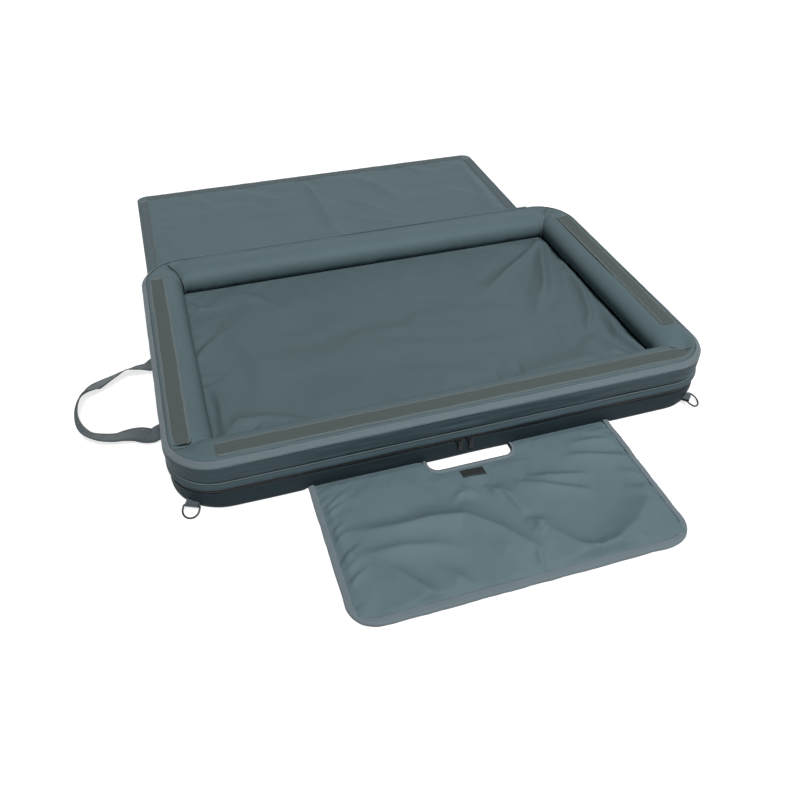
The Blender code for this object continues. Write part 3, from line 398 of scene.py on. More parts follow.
MATERIALS = {
    "wall": cloth("wall_cloth", (0.093, 0.136, 0.150), 0.44, 0.0005, 55.0),
    "liner": cloth("liner_cloth", (0.083, 0.119, 0.130), 0.44, 0.0007, 24.0),
    "cover": cloth("cover_cloth", (0.094, 0.138, 0.154), 0.48, 0.0008, 26.0),
    "flap": cloth("flap_cloth", (0.116, 0.170, 0.188), 0.46, 0.0007, 28.0),
    "band": cloth("band_cloth", (0.060, 0.091, 0.106), 0.48, 0.0007, 50.0),
    "base": cloth("base_cloth", (0.021, 0.034, 0.041), 0.55, 0.0005, 40.0),
    "binding": webbing("binding_tape", (0.160, 0.206, 0.230), 0.0011, 0.0010, 0.00012, 0.66),
    "rim": webbing("rim_tape", (0.132, 0.174, 0.193), 0.0011, 0.0010, 0.00012, 0.60),
    "cord": webbing("seam_tape", (0.100, 0.136, 0.148), 0.0009, 0.0008, 0.00008, 0.55),
    "strap": webbing("strap_webbing_cloth", (0.066, 0.092, 0.104)),
    "loop": napped("loop_tape_nap", (0.076, 0.098, 0.094)),
    "selvedge": webbing("loop_tape_selvedge", (0.120, 0.158, 0.172), 0.0010, 0.0009, 0.00010, 0.6),
    "hook": napped("hook_tape_nap", (0.092, 0.126, 0.136)),
    "zip": zip_cloth("zip_tape_cloth", (0.007, 0.011, 0.014)),
    "metal": coated_metal("black_wire", (0.018, 0.019, 0.021), 0.32),
    "zip_metal": coated_metal("zip_die_cast", (0.030, 0.032, 0.035), 0.38),
    "rubber": moulding("pull_moulding", (0.014, 0.015, 0.017)),
    "patch": cloth("patch_weave", (0.018, 0.020, 0.020), 0.8, 0.0003, 45.0, thread=0.0005, sheen=0.15,
                   specular=0.2),
    "thread": moulding("thread", (0.070, 0.095, 0.105)),
    # dark thread: real stitches on the hook strips, and rows laid almost end to end as painted shade in the gaps
    # beside the rim tape and the flap's binding
    "dark_thread_and_groove_shade": moulding("dark_thread_and_groove_shade", (0.030, 0.040, 0.046)),
    "tape_thread": moulding("tape_thread", (0.055, 0.072, 0.074)),
}


# Shapes shared by several pieces

def corner_middle(name):
    """The middle of a corner's arc."""
    side_x, side_y, _ = CORNERS[name]
    return np.array([side_x * (LENGTH / 2 - RADIUS), side_y * (WIDTH / 2 - RADIUS)])


def outline_points(count):
    """Even points round the mat's outline: place, outward direction and distance along it."""
    straight = np.array([WIDTH - 2 * RADIUS, LENGTH - 2 * RADIUS, WIDTH - 2 * RADIUS, LENGTH - 2 * RADIUS])
    arc = RADIUS * pi / 2
    total = straight.sum() + 4 * arc
    along = np.linspace(0.0, total, count, endpoint=False)
    places, outs = [], []
    for distance in along:
        # starts at the rear's middle and runs counter-clockwise
        rest = (distance + straight[1] / 2) % total
        for index, name in enumerate(("rear_left", "front_left", "front_right", "rear_right")):
            middle = corner_middle(name)
            start = CORNERS[name][2]
            run = straight[(index + 1) % 4]
            if rest < run:
                angle = radians(start)
                out = np.array([cos(angle), sin(angle)])
                heading = np.array([-sin(angle), cos(angle)])
                places.append(middle + out * RADIUS - heading * (run - rest))
                outs.append(out)
                break
            rest -= run
            if rest < arc:
                angle = radians(start) + rest / RADIUS
                out = np.array([cos(angle), sin(angle)])
                places.append(middle + out * RADIUS)
                outs.append(out)
                break
            rest -= arc
    return np.array(places), np.array(outs), along


def ring(name, profile, material, thickness, wobble=None, spacing=0.006):
    """A band round the mat: rows of inset and height, moved outward by wobble(along, height)."""
    count = int(round(OUTLINE / spacing))
    places, outs, along = outline_points(count)
    across = lengths_along(profile)
    grid = np.zeros((count, len(profile), 3))
    uv = np.zeros((count, len(profile), 2))
    for column, (inset, height) in enumerate(profile):
        push = wobble(along, np.full(count, height)) if wobble else 0.0
        grid[:, column, :2] = places - outs * (inset - np.reshape(push, (-1, 1)) * np.ones((count, 1)))
        grid[:, column, 2] = height
        uv[:, column, 0] = along
        uv[:, column, 1] = across[column]
    obj = skin(name, grid, uv, material, wrap=True)
    thicken(obj, thickness)
    return obj


def outline_pad(name, rows, node, body):
    """A closed pad of the mat's outline, from rows of inset and height."""
    places, outs, _ = outline_points(220)
    count = len(places)
    grid = np.zeros((len(rows), count, 3))
    for index, (inset, height) in enumerate(rows):
        grid[index, :, :2] = places - outs * inset
        grid[index, :, 2] = height
    points = grid.reshape(-1, 3)
    faces = [(row * count + column, row * count + (column + 1) % count,
              (row + 1) * count + (column + 1) % count, (row + 1) * count + column)
             for row in range(len(rows) - 1) for column in range(count)]
    faces.append(tuple(range(count))[::-1])
    faces.append(tuple(range(len(points) - count, len(points))))
    obj = make_mesh(name, points, faces, points[:, :2], MATERIALS["base"])
    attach(obj, body)
    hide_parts(node)


def wall_top(inset):
    across = (inset - WALL_HALF) / WALL_HALF
    power = np.where(across < 0, OUTER_POWER, INNER_POWER)
    return WALL_MIDDLE + WALL_DEPTH * (1 - np.abs(across) ** power) ** (1 / power)


def wall_profile(steps):
    """Inset and height from the rim seam over the crest and down to the floor."""
    start = np.arccos(min(1.0 - RIM_INSET / WALL_HALF, 1.0) ** (OUTER_POWER / 2))
    drop = (WALL_MIDDLE - WALL_FOOT) / WALL_DEPTH
    foot = (1.0 - drop ** INNER_POWER) ** (1.0 / INNER_POWER)
    end = pi + np.arccos(foot ** (INNER_POWER / 2))
    fine = np.linspace(start, end, 400)
    power = np.where(np.cos(fine) > 0, OUTER_POWER, INNER_POWER)
    across = np.abs(np.cos(fine)) ** (2 / power)
    rise = np.abs(np.sin(fine)) ** (2 / power)
    inset = np.where(np.cos(fine) > 0, WALL_HALF - WALL_HALF * across, WALL_HALF + WALL_HALF * across)
    height = WALL_MIDDLE + WALL_DEPTH * rise * np.sign(np.sin(fine))
    line = np.stack([inset, height], 1)
    return resample(line, lengths_along(line)[-1] / steps)


# Folds and cloth

def ridges(x, y, folds, sharp=1.28):
    """Heights of folds over a plane.

    A fold is its left and right spread in mm, then points of x and y in mm and height in tenths of a mm.
    """
    flat = np.stack([x.ravel(), y.ravel()], 1)
    total = np.zeros(len(flat))
    for left, right, *points in folds:
        line = resample(np.array(points) / (1000, 1000, 10000), 0.004)
        gaps = flat[:, None, :] - line[None, :, :2]
        distance = np.hypot(gaps[..., 0], gaps[..., 1])
        nearest = distance.argmin(1)
        pick = np.arange(len(flat))
        near = gaps[pick, nearest]
        heading = np.gradient(line[:, :2], axis=0)[nearest]
        side = heading[:, 0] * near[:, 1] - heading[:, 1] * near[:, 0]
        spread = np.where(side > 0, left, right) / 1000
        total += line[nearest, 2] * np.exp(-(distance[pick, nearest] / spread) ** sharp)
    return total.reshape(x.shape)


def crumpled(x, y, z, pins, growth, bending, most, frames=15):
    """Cloth simulated from its folded shape, a little too large for its held edges, so that it buckles."""
    rows, columns = x.shape
    points = np.stack([x, y, z], -1).reshape(-1, 3)
    faces = [(r * columns + c, (r + 1) * columns + c, (r + 1) * columns + c + 1, r * columns + c + 1)
             for r in range(rows - 1) for c in range(columns - 1)]
    mesh = bpy.data.meshes.new("trial")
    mesh.from_pydata([tuple(point) for point in points], [], faces)
    trial = placed("trial", mesh)
    group = trial.vertex_groups.new(name="pins")
    weights = np.round(pins.reshape(-1), 2)
    for level in np.unique(weights[weights > 0]):
        group.add([int(index) for index in np.nonzero(weights == level)[0]], float(level), "REPLACE")
    modifier = trial.modifiers.new("cloth", "CLOTH")
    settings = modifier.settings
    settings.quality = 5
    settings.mass = 0.15
    settings.air_damping = 2.0
    settings.tension_stiffness = 15.0
    settings.compression_stiffness = 15.0
    settings.shear_stiffness = 5.0
    settings.bending_stiffness = bending
    settings.tension_damping = 5.0
    settings.compression_damping = 5.0
    settings.shear_damping = 5.0
    settings.bending_damping = 0.5
    settings.vertex_group_mass = "pins"
    settings.pin_stiffness = 1.0
    settings.shrink_min = -growth
    settings.effector_weights.gravity = 0.0
    modifier.collision_settings.use_collision = False
    modifier.point_cache.frame_start = 1
    modifier.point_cache.frame_end = frames
    for frame_number in range(1, frames + 1):
        bpy.context.scene.frame_set(frame_number)
    depsgraph = bpy.context.evaluated_depsgraph_get()
    result = trial.evaluated_get(depsgraph)
    settled = np.empty(len(result.data.vertices) * 3)
    result.data.vertices.foreach_get("co", settled)
    change = settled.reshape(rows, columns, 3)[..., 2] - z
    bpy.data.objects.remove(trial, do_unlink=True)
    bpy.data.meshes.remove(mesh)
    bpy.context.scene.frame_set(1)
    return z + most * np.tanh(change / most)


# Base

def base_wobble(along, height):
    """Puckers at the zip, soft waves and a spreading foot."""
    edge = bell(height - BASE_TOP, 0.008)
    pucker = noise2(along, height, (0.020, 0.02), 3) * 0.5 + noise2(along, height, (0.008, 0.02), 4) * 0.25
    # the skirt spreads at its foot, but not where the kneeling flap joins it
    x = along - OUTLINE / 2
    joined = smooth((x - KNEEL_LEFT + 0.010) / 0.010) * smooth((HOLE_LEFT - x) / 0.008)
    joined = joined + smooth((x - HOLE_RIGHT) / 0.008) * smooth((KNEEL_RIGHT + 0.010 - x) / 0.010)
    front = smooth((0.46 - np.abs(x)) / 0.06)
    foot = np.exp(-((height - 0.003) / 0.014) ** 2) * front * (1 - joined) * 0.0034
    return edge * pucker * 0.0012 + noise2(along, height, (0.09, 0.012), 5) * 0.0013 + foot


def make_base():
    """The fabric shell, and the mat's underside with its foam slab as one pad."""
    rows = [(0.030, 0.0004), (0.0055, 0.0004), (0.0020, 0.0018), (0.0002, 0.0056), (-0.0012, 0.0175),
            (-0.0006, 0.028),
            (0.0002, BASE_TOP)]
    body = ring("base_shell", resample(rows, 0.0028), MATERIALS["base"], 0.0012, base_wobble, spacing=0.005)
    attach(body, "base")
    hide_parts("base_cover")
    rows = [(0.0262, 0.0012), (0.0080, 0.0012), (0.0035, 0.0045), (0.0026, 0.0085), (0.0026, 0.0385)]
    outline_pad("base_slab", rows, "base_foam", "base")


def make_zip():
    """Each tape with its half of the coil at its free edge."""
    for name, node, low, body in (("zip_lower", "lower_zip_tape", 0.0353, "base"),
                                  ("zip_upper", "upper_zip_tape", 0.0396, "tray")):
        if body == "base":
            rows = [(0.0016, low + 0.0002), (0.0015, low + 0.0024), (0.0002, low + 0.0029),
                    (0.0003, low + 0.0039)]
        else:
            rows = [(0.0003, low + 0.0001), (0.0002, low + 0.0011), (0.0015, low + 0.0016),
                    (0.0016, low + 0.0040)]
        piece = ring(name, resample(rows, 0.0007), MATERIALS["zip"], 0.0008)
        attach(piece, body)
        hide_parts(node)


# Tray

def band_wobble(along, height):
    seam = bell(height - SEAM_HEIGHT, 0.006) + bell(height - BAND_BOTTOM, 0.006) + bell(height - RIM_SEAM,
                                                                                        0.008)
    pucker = noise2(along, height, (0.018, 0.02), 11) * 0.6 + noise2(along, height, (0.007, 0.02), 12) * 0.3
    broad = noise2(along, height, (0.12, 0.03), 13)
    folds = noise2(along, height, (0.075, 0.0065), 14) + noise2(along, height, (0.050, 0.0035), 15) * 0.4
    calm = 1.0 - np.minimum(seam, 1.0) * 0.8
    return seam * pucker * 0.0010 + broad * 0.0009 + folds * calm * 0.0011


def make_side_band():
    lower = [(0.0016, BAND_BOTTOM), (-0.0022, 0.0450), (-0.0036, 0.0474), (-0.0034, 0.0505),
             (-0.0022, 0.0535),
             (-0.0006, 0.0565), (0.0014, SEAM_HEIGHT - 0.0006)]
    upper = [(0.0014, SEAM_HEIGHT + 0.0006), (-0.0004, 0.0620), (-0.0014, 0.068), (-0.0018, 0.075),
             (-0.0018, 0.082),
             (-0.0020, 0.088), (-0.0014, 0.0945)]
    for name, rows, node in (("side_band_lower", lower, "seam_piping"),
                             ("side_band_upper", upper, "tray_side_band")):
        piece = ring(name, resample(rows, 0.0022), MATERIALS["band"], 0.0011, band_wobble, spacing=0.005)
        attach(piece, "tray")
        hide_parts(node)
    rows = [(0.0008 + 0.0010 * cos(angle) - 0.0012, SEAM_HEIGHT + 0.0010 * sin(angle))
            for angle in np.linspace(0, 2 * pi, 9)]

    def sway(along, height):
        return noise2(along, height, (0.05, 0.05), 16) * 0.0003

    cord = ring("seam_cord", np.array(rows), MATERIALS["cord"], 0.0002, sway)
    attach(cord, "tray")


SEAMS = {
    "rear_right": (56.0, 58.0, 57.0, 55.0, 52.0),
    "rear_left": (116.0, 110.0, 106.0, 104.0, 103.0),
    "front_left": (201.0, 205.0, 207.0, 207.0, 208.0),
    "front_right": (325.0, 322.0, 318.0, 314.0, 312.0),
}


def seam_angle(name, inset):
    """Where the seam between two walls runs in a corner, from the rim in to the floor."""
    return np.interp(inset, (0.004, 0.020, 0.042, 0.062, 0.080), SEAMS[name])


def make_rim():
    """Binding tape folded over the rim seam, with a row of dark stitches laid almost end to end, partly
    stitching and partly painted shade of the gap between the tape and the loop strip.
    """
    over = [(inset, float(wall_top(inset))) for inset in np.linspace(0.0035, 0.0085, 5)]
    rows = [(-0.0006, RIM_SEAM - 0.0012), (-0.0004, RIM_SEAM + 0.0010),
            (0.0006, float(wall_top(0.0018)) + 0.0032)] + over
    rows = np.array(rows)
    rows[3:, 1] += 0.0009
    rows[:2, 0] -= 0.0010
    rows[2, 0] -= 0.0002
    profile = resample(rows, 0.0016)

    def wobble(along, height):
        return noise2(along, height, (0.012, 0.05), 21) * 0.0004 + noise2(along, height, (0.05, 0.05),
                                                                          22) * 0.0004

    piece = ring("rim_tape", profile, MATERIALS["rim"], 0.0009, wobble, spacing=0.004)
    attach(piece, "tray")
    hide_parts("rim_binding")
    places, outs, along = outline_points(500)
    inset = 0.0092
    height = float(wall_top(inset)) + 0.0004
    path = [((*(place - out * inset), height), (out[0] * 0.25, out[1] * 0.25, 0.97))
            for place, out in zip(places, outs)]
    path.append(path[0])
    # near-continuous dark stitches: painted shade of the gap inside the rim tape, as well as its stitching
    stitches("rim_stitches", path, 0.0, "tray", MATERIALS["dark_thread_and_groove_shade"], 0.0034, 0.0006, 0.0011)


def wall_stations(first, second, spacing):
    """Middle, outward angle, distance along and distance to the two mitres, from one mitre to the next."""
    stations = []
    for name, low, high in ((first, MITRES[first], CORNERS[first][2] + 90.0),
                            (second, CORNERS[second][2], MITRES[second])):
        middle = corner_middle(name)
        for angle in np.linspace(radians(low), radians(high), max(int(abs(high - low) / 4.0), 3)):
            stations.append((middle, angle))
        if name == first:
            turn = len(stations)
    begin = stations[turn - 1][0]
    end = stations[turn][0]
    count = int(np.linalg.norm(end - begin) / spacing)
    inner = [(begin + (end - begin) * step / count, stations[turn - 1][1]) for step in range(1, count)]
    stations = stations[:turn] + inner + stations[turn:]
    crest = np.array([middle + np.array([cos(angle), sin(angle)]) * (RADIUS - 0.03)
                      for middle, angle in stations])
    along = lengths_along(crest)
    return stations, along


# How far each wall sinks, and how blunt it is, at its first and last end, and how far each corner's seam sinks
WALL_SINKS = {"rear": (0.9, 1.0), "left": (0.1, 0.8), "front": (0.7, 0.9), "right": (1.0, 1.0)}
WALL_NOSES = {"rear": (0.8, 0.5), "left": (2.3, 1.1), "front": (0.8, 0.9), "right": (0.9, 0.9)}
CORNER_DROPS = {"rear_right": 1.1, "rear_left": 1.0, "front_left": 0.95, "front_right": 1.1}


def make_wall(name, first, second, seed):
    stations, along = wall_stations(first, second, 0.006)
    profile = wall_profile(34)
    around = lengths_along(profile)
    total = along[-1]
    near = np.minimum(along, total - along)
    rows, columns = len(stations), len(profile)
    inset = np.tile(profile[:, 0], (rows, 1))
    height = np.tile(profile[:, 1], (rows, 1))
    s = np.tile(along[:, None], (1, columns))
    t = np.tile(around[None, :], (rows, 1))
    # the section's outward direction
    slope = np.gradient(profile, axis=0)
    slope /= np.linalg.norm(slope, axis=1)[:, None]
    normal_inset = np.tile(-slope[:, 1], (rows, 1))
    normal_height = np.tile(slope[:, 0], (rows, 1))
    # the wall sinks towards its ends and closes on the seam
    across = smooth((inset - 0.012) / 0.020)
    upper = np.clip((height - WALL_MIDDLE) / WALL_DEPTH, 0, 1)
    gather = np.where(along < total / 2, *WALL_SINKS[name])[:, None]
    blunt = np.where(along < total / 2, *WALL_NOSES[name])[:, None]
    mitre = smooth(1.0 - near[:, None] / 0.055)
    nose = np.exp(-(near[:, None] / 0.011) ** 1.3)
    height = height - WALL_SINK * gather * across * upper * mitre ** 1.5
    if name == "rear":
        height = height - 0.0034 * smooth((inset - 0.010) / 0.008) * smooth((0.036 - inset) / 0.018) * upper
    close = 0.0040 * blunt * nose * smooth((inset - 0.010) / 0.012)
    # puckers along the rim seam and the floor seam, creases at the ends, and a soft uneven swell
    rim = bell(t, 0.012)
    foot = bell(around[-1] - t, 0.020)
    pucker = noise2(s, t, (0.016, 0.05), seed) * 0.6 + noise2(s, t, (0.007, 0.03), seed + 1) * 0.35
    swell = noise2(s, t, (0.11, 0.06), seed + 2) * 0.0014
    crease = noise2(s, t, (0.009, 0.035), seed + 3) * smooth(1.0 - near[:, None] / 0.07) * 0.0017
    push = (rim * 0.0009 + foot * 0.0022) * pucker + swell * smooth(t / 0.02) + crease * smooth(t / 0.02)
    push = push - 0.0006 - close
    inset = inset + normal_inset * push
    height = height + normal_height * push
    lower_row = np.array([(0.0030, WALL_FOOT + 0.0010), (0.0030, 0.075), (0.0022, 0.0935)])
    closed_inset = np.concatenate([inset, np.tile(lower_row[:, 0], (rows, 1))], 1)
    closed_height = np.concatenate([height, np.tile(lower_row[:, 1], (rows, 1))], 1)
    closed_height = np.maximum(closed_height, WALL_FOOT + 0.0002)
    seam_inset = np.concatenate([profile[:, 0], [0.004, 0.004, 0.004]])
    grid = np.zeros((rows, closed_inset.shape[1], 3))
    uv = np.zeros((rows, closed_inset.shape[1], 2))
    for row, (middle, angle) in enumerate(stations):
        turn = np.full(len(seam_inset), angle)
        for corner, begins in ((first, CORNERS[first][2] + 90.0), (second, CORNERS[second][2])):
            if np.hypot(*(middle - corner_middle(corner))) > 1e-6:
                continue
            share = (np.degrees(angle) - begins) / (MITRES[corner] - begins)
            gap = 0.15 * np.sign(MITRES[corner] - begins)
            turn = np.radians(begins + share * (seam_angle(corner, seam_inset) - gap - begins))
        grid[row, :, 0] = middle[0] + np.cos(turn) * (RADIUS - closed_inset[row])
        grid[row, :, 1] = middle[1] + np.sin(turn) * (RADIUS - closed_inset[row])
        grid[row, :, 2] = closed_height[row]
        uv[row, :, 0] = along[row]
        uv[row, :columns, 1] = around
        uv[row, columns:, 1] = around[-1] + np.array([0.06, 0.085, 0.10])
    obj = skin(name + "_wall", grid, uv, MATERIALS["wall"], cross_wrap=True, caps=True)
    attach(obj, "tray")
    return obj


def make_walls():
    walls = (("rear", "rear_right", "rear_left", 31), ("left", "rear_left", "front_left", 41),
             ("front", "front_left", "front_right", 51), ("right", "front_right", "rear_right", 61))
    for side, first, second, seed in walls:
        piece = make_wall(side, first, second, seed)
        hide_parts(side + "_wall_sleeve", side + "_wall_foam")
    for corner in CORNERS:
        make_corner_piping(corner)


def make_corner_piping(name):
    """The piped seam between two walls, over the top of a corner."""
    middle = corner_middle(name)
    profile = wall_profile(40)[2:-2]
    points = []
    for inset, height in profile:
        turn = radians(float(seam_angle(name, inset)))
        upper = float(np.clip((height - WALL_MIDDLE) / WALL_DEPTH, 0, 1))
        sink = WALL_SINK * CORNER_DROPS[name] * float(smooth((inset - 0.012) / 0.020)) * upper
        reach = RADIUS - inset
        points.append((middle[0] + cos(turn) * reach, middle[1] + sin(turn) * reach, height - sink - 0.0022))
    piping = tube("corner_piping_" + name, resample(np.array(points), 0.003), 0.0011, MATERIALS["cord"],
                  False, 8)
    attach(piping, "tray")


def arc_inset(along, half):
    """How far a round corner draws the outline in, past the end of a straight side."""
    past = np.maximum(np.abs(along) - (half - RADIUS), 0.0)
    return RADIUS - np.sqrt(np.maximum(RADIUS ** 2 - past ** 2, 0.0))


def tape_strip(side, heading, half, other_half, start, end, seed, round_ends=(0.004, 0.004)):
    """Loop tape on a wall's crest, slightly wavy, drawn in where the corner turns, with plain stitched edges."""
    angle = radians(heading)
    out = np.array([cos(angle), sin(angle)])
    along_axis = np.array([-sin(angle), cos(angle)])
    count = int((end - start) / 0.004)
    stations = np.linspace(start, end, count)
    shares = np.concatenate([[0.0], np.linspace(0.125, 0.875, 11), [1.0]])
    s, share = np.meshgrid(stations, shares, indexing="ij")
    first_end, last_end = round_ends
    cut = first_end - np.sqrt(np.maximum(first_end ** 2 - np.maximum(first_end - (s - start), 0.0) ** 2, 0.0))
    cut = cut + last_end - np.sqrt(np.maximum(last_end ** 2 - np.maximum(last_end - (end - s), 0.0) ** 2,
                                              0.0))
    outer = 0.0140 + arc_inset(s, other_half) * 1.02 + cut
    inner = 0.0475 - cut - smooth((np.abs(s) - other_half + RADIUS) / 0.06) * 0.004
    wave = noise2(s, share, (0.045, 3.0), seed) * 0.0011 + noise2(s, share, (0.014, 3.0), seed + 1) * 0.0005
    inset = outer + (inner - outer) * share + wave
    place = out * (half - inset)[..., None] + along_axis * s[..., None]
    centre = np.sign(s)[..., None] * along_axis * (other_half - RADIUS) + out * (half - RADIUS)
    radial = RADIUS - np.linalg.norm(place - centre, axis=-1)
    true_inset = np.where(np.abs(s) > other_half - RADIUS, radial, inset)
    sink = 0.0045 * smooth((np.abs(s) - other_half + RADIUS - 0.004) / 0.055) * smooth((true_inset
                                                                                        - 0.012) / 0.02)
    nap = smooth((np.minimum(share, 1 - share) - 0.10) / 0.05)
    rise = 0.0007 + 0.0003 * noise2(s, inset, (0.018, 0.014), seed + 2) + 0.0005 * nap
    grid = np.zeros((*s.shape, 3))
    grid[..., :2] = place
    grid[..., 2] = wall_top(np.clip(true_inset, 0.003, 0.075)) + rise - sink
    uv = np.stack([s, inset], -1)
    name = side + "_loop_strip"
    obj = skin(name, grid, uv, MATERIALS["loop"])
    obj.data.materials.append(MATERIALS["selvedge"])
    cells = len(shares) - 1
    sides = [1 if index % cells in (0, cells - 1) else 0 for index in range(len(obj.data.polygons))]
    obj.data.polygons.foreach_set("material_index", sides)
    thicken(obj, 0.0012)
    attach(obj, "tray")
    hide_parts(side + "_loop_tape")
    for suffix, column in (("a", 0), ("b", cells - 1)):
        path = [((grid[row, column] + grid[row, column + 1]) / 2, (0, 0, 1)) for row in range(count)]
        stitches(name + "_stitches_" + suffix, path, 0.0004, "tray", MATERIALS["tape_thread"])


def make_tape_strips():
    long, wide = LENGTH / 2, WIDTH / 2
    tape_strip("front", 270.0, wide, long, -0.420, 0.455, 71, (0.001, 0.012))
    tape_strip("left", 180.0, long, wide, -0.252, 0.270, 73)
    tape_strip("right", 0.0, long, wide, -0.212, 0.250, 75)


LINER_FOLDS = (
    (12, 9, (398, 230, 10), (291, 179, -45), (185, 100, -5)),
    (11, 10, (398, 226, 30), (278, 130, 50), (170, 48, 0)),
    (10, 10, (400, 218, 0), (313, 127, -42), (225, 15, 0)),
    (7, 7, (330, 140, 0), (280, 60, 25), (243, 12, 0)),
    (9, 9, (385, 190, 0), (293, 75, -40), (245, -16, 0)),
    (12, 12, (407, 222, 35), (339, 61, 62), (262, -55, 0)),
    (11, 11, (411, 190, -20), (352, 28, -50), (298, -40, 0)),
    (8, 8, (405, 110, 0), (372, 30, 30), (318, -60, 0)),
    (14, 12, (400, 100, 0), (352, -30, -50), (338, -120, -20), (330, -150, 0)),
    (10, 9, (420, 140, 20), (407, 20, 58), (383, -68, 62), (343, -130, 0)),
    (11, 9, (412, 0, 0), (379, -110, -55), (380, -165, -55), (402, -218, -30)),
    (10, 14, (424, -20, 10), (400, -150, 75), (415, -215, 60), (424, -240, 30)),
    (6, 6, (340, -145, 0), (362, -200, 50), (388, -222, 20)),
    (30, 22, (105, -225, 0), (180, -222, 50), (300, -215, 60), (350, -235, 0)),
    (3, 4, (118, -176, 0), (115, -200, -22), (112, -225, 0)),
    (3, 4, (168, -170, 0), (162, -198, -22), (158, -225, 0)),
    (6, 6, (-410, 232, -20), (-390, 206, -35), (-366, 172, 0)),
    (7, 6, (-412, 216, 0), (-396, 190, 40), (-345, 184, 0)),
    (6, 5, (-410, 205, 0), (-400, 175, -30), (-396, 145, 0)),
    (6, 5, (-424, 40, -30), (-395, 80, -30), (-365, 115, 0)),
    (8, 7, (-424, 10, 20), (-398, 50, 30), (-360, 90, 0)),
    (6, 5, (-426, -23, -25), (-395, -28, -20), (-365, -34, 0)),
    (6, 5, (-428, -64, -30), (-405, -58, -20), (-380, -50, 0)),
    (50, 20, (-362, 130, 0), (-335, 44, 30), (-308, -33, 35), (-322, -140, 0)),
    (7, 8, (-415, -70, 0), (-411, -138, -45), (-413, -205, -30)),
    (8, 8, (-398, -80, 0), (-395, -140, 40), (-398, -200, 10)),
    (10, 12, (-330, 238, 0), (-269, 192, 18), (-220, 140, 0)),
    (12, 12, (-408, -228, 10), (-370, -190, 55), (-320, -192, 45), (-230, -225, 0)),
    (6, 4, (-368, -226, -30), (-349, -209, -45), (-330, -198, 0)),
    (6, 8, (-6, 234, 0), (4, 126, -12), (3, 20, 0)),
    (30, 40, (-280, -80, 0), (-120, -30, 16), (60, -80, 0)),
    (40, 30, (-180, 160, 0), (-20, 80, 14), (140, 120, 0)),
)


def make_liner():
    half_x = LENGTH / 2 - LINER_INSET
    half_y = WIDTH / 2 - LINER_INSET
    x, y = np.meshgrid(np.linspace(-half_x, half_x, 200), np.linspace(-half_y, half_y, 122), indexing="ij")
    edge = np.minimum(half_x - np.abs(x), half_y - np.abs(y))
    free = smooth((edge - 0.002) / 0.012)
    fine = noise2(x, y, (0.085, 0.055), 82) * 0.0010 + noise2(x, y, (0.038, 0.030), 83) * 0.0005
    folds = ridges(x, y, LINER_FOLDS) * 2.0
    z = LINER_LEVEL + free * (folds + fine)
    # the corners are drawn in to the walls' small inner radius
    corner = LINER_CORNER
    over_x = np.maximum(np.abs(x) - (half_x - corner), 0)
    over_y = np.maximum(np.abs(y) - (half_y - corner), 0)
    reach = np.hypot(over_x, over_y)
    limit = np.maximum(np.maximum(over_x, over_y), 1e-9)
    scale = np.where((over_x > 0) & (over_y > 0), limit / np.maximum(reach, 1e-9), 1.0)
    x = np.where(over_x > 0, np.sign(x) * (half_x - corner + over_x * scale), x)
    y = np.where(over_y > 0, np.sign(y) * (half_y - corner + over_y * scale), y)
    pins = np.where(edge < 0.006, 1.0, 0.0)
    z = crumpled(x, y, z, pins, 0.004, 3.0, 0.0030)
    z = LINER_LEAST + 0.0004 * np.log1p(np.exp(np.clip((z - LINER_LEAST) / 0.0004, -30, 60)))
    grid = np.stack([x, y, z], -1)
    obj = skin("tray_liner", grid, np.stack([x, y], -1), MATERIALS["liner"])
    thicken(obj, 0.0010)
    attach(obj, "tray")
    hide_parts("floor_liner")


COVER_FOLDS = (
    (6, 12, (-46, 866, 10), (-30, 780, 38), (-20, 709, 42), (-19, 500, 30), (-20, 380, 10)),
    (10, 10, (-215, 800, 0), (-156, 713, -22), (-86, 712, 0)),
    (10, 12, (-190, 812, 0), (-140, 745, 22), (-76, 735, 0)),
    (12, 10, (30, 705, 0), (100, 633, 28), (165, 545, 0)),
    (12, 10, (108, 815, 0), (160, 742, 28), (190, 640, 0)),
    (11, 9, (222, 860, 0), (296, 750, -24), (410, 752, 0)),
    (12, 12, (240, 880, 0), (310, 790, 24), (420, 792, 0)),
    (12, 9, (430, 820, 0), (427, 650, 26), (415, 500, 0)),
    (12, 14, (240, 625, 0), (337, 654, 24), (415, 600, 0)),
    (12, 12, (20, 600, 0), (110, 540, 22), (240, 470, 0)),
    (8, 8, (-365, 830, 0), (-322, 773, 18), (-285, 680, 0)),
    (7, 7, (-462, 690, 0), (-433, 628, 24), (-420, 530, 0)),
    (12, 6, (-380, 800, 0), (-419, 644, 26), (-430, 540, 0)),
    (14, 14, (-260, 560, 0), (-170, 520, 18), (-80, 560, 0)),
    (16, 14, (-380, 440, 0), (-200, 410, 22), (20, 450, 0)),
    (16, 14, (80, 400, 0), (230, 430, 22), (400, 400, 0)),
)


def make_floor():
    outline_pad("tray_base_panel", [(0.0026, 0.0400), (0.0026, 0.0408)], "tray_underside",
                "tray")
    outline_pad("floor_pad", [(0.0026, 0.0412), (0.0026, 0.0500)], "floor_foam", "tray")


# Rear cover

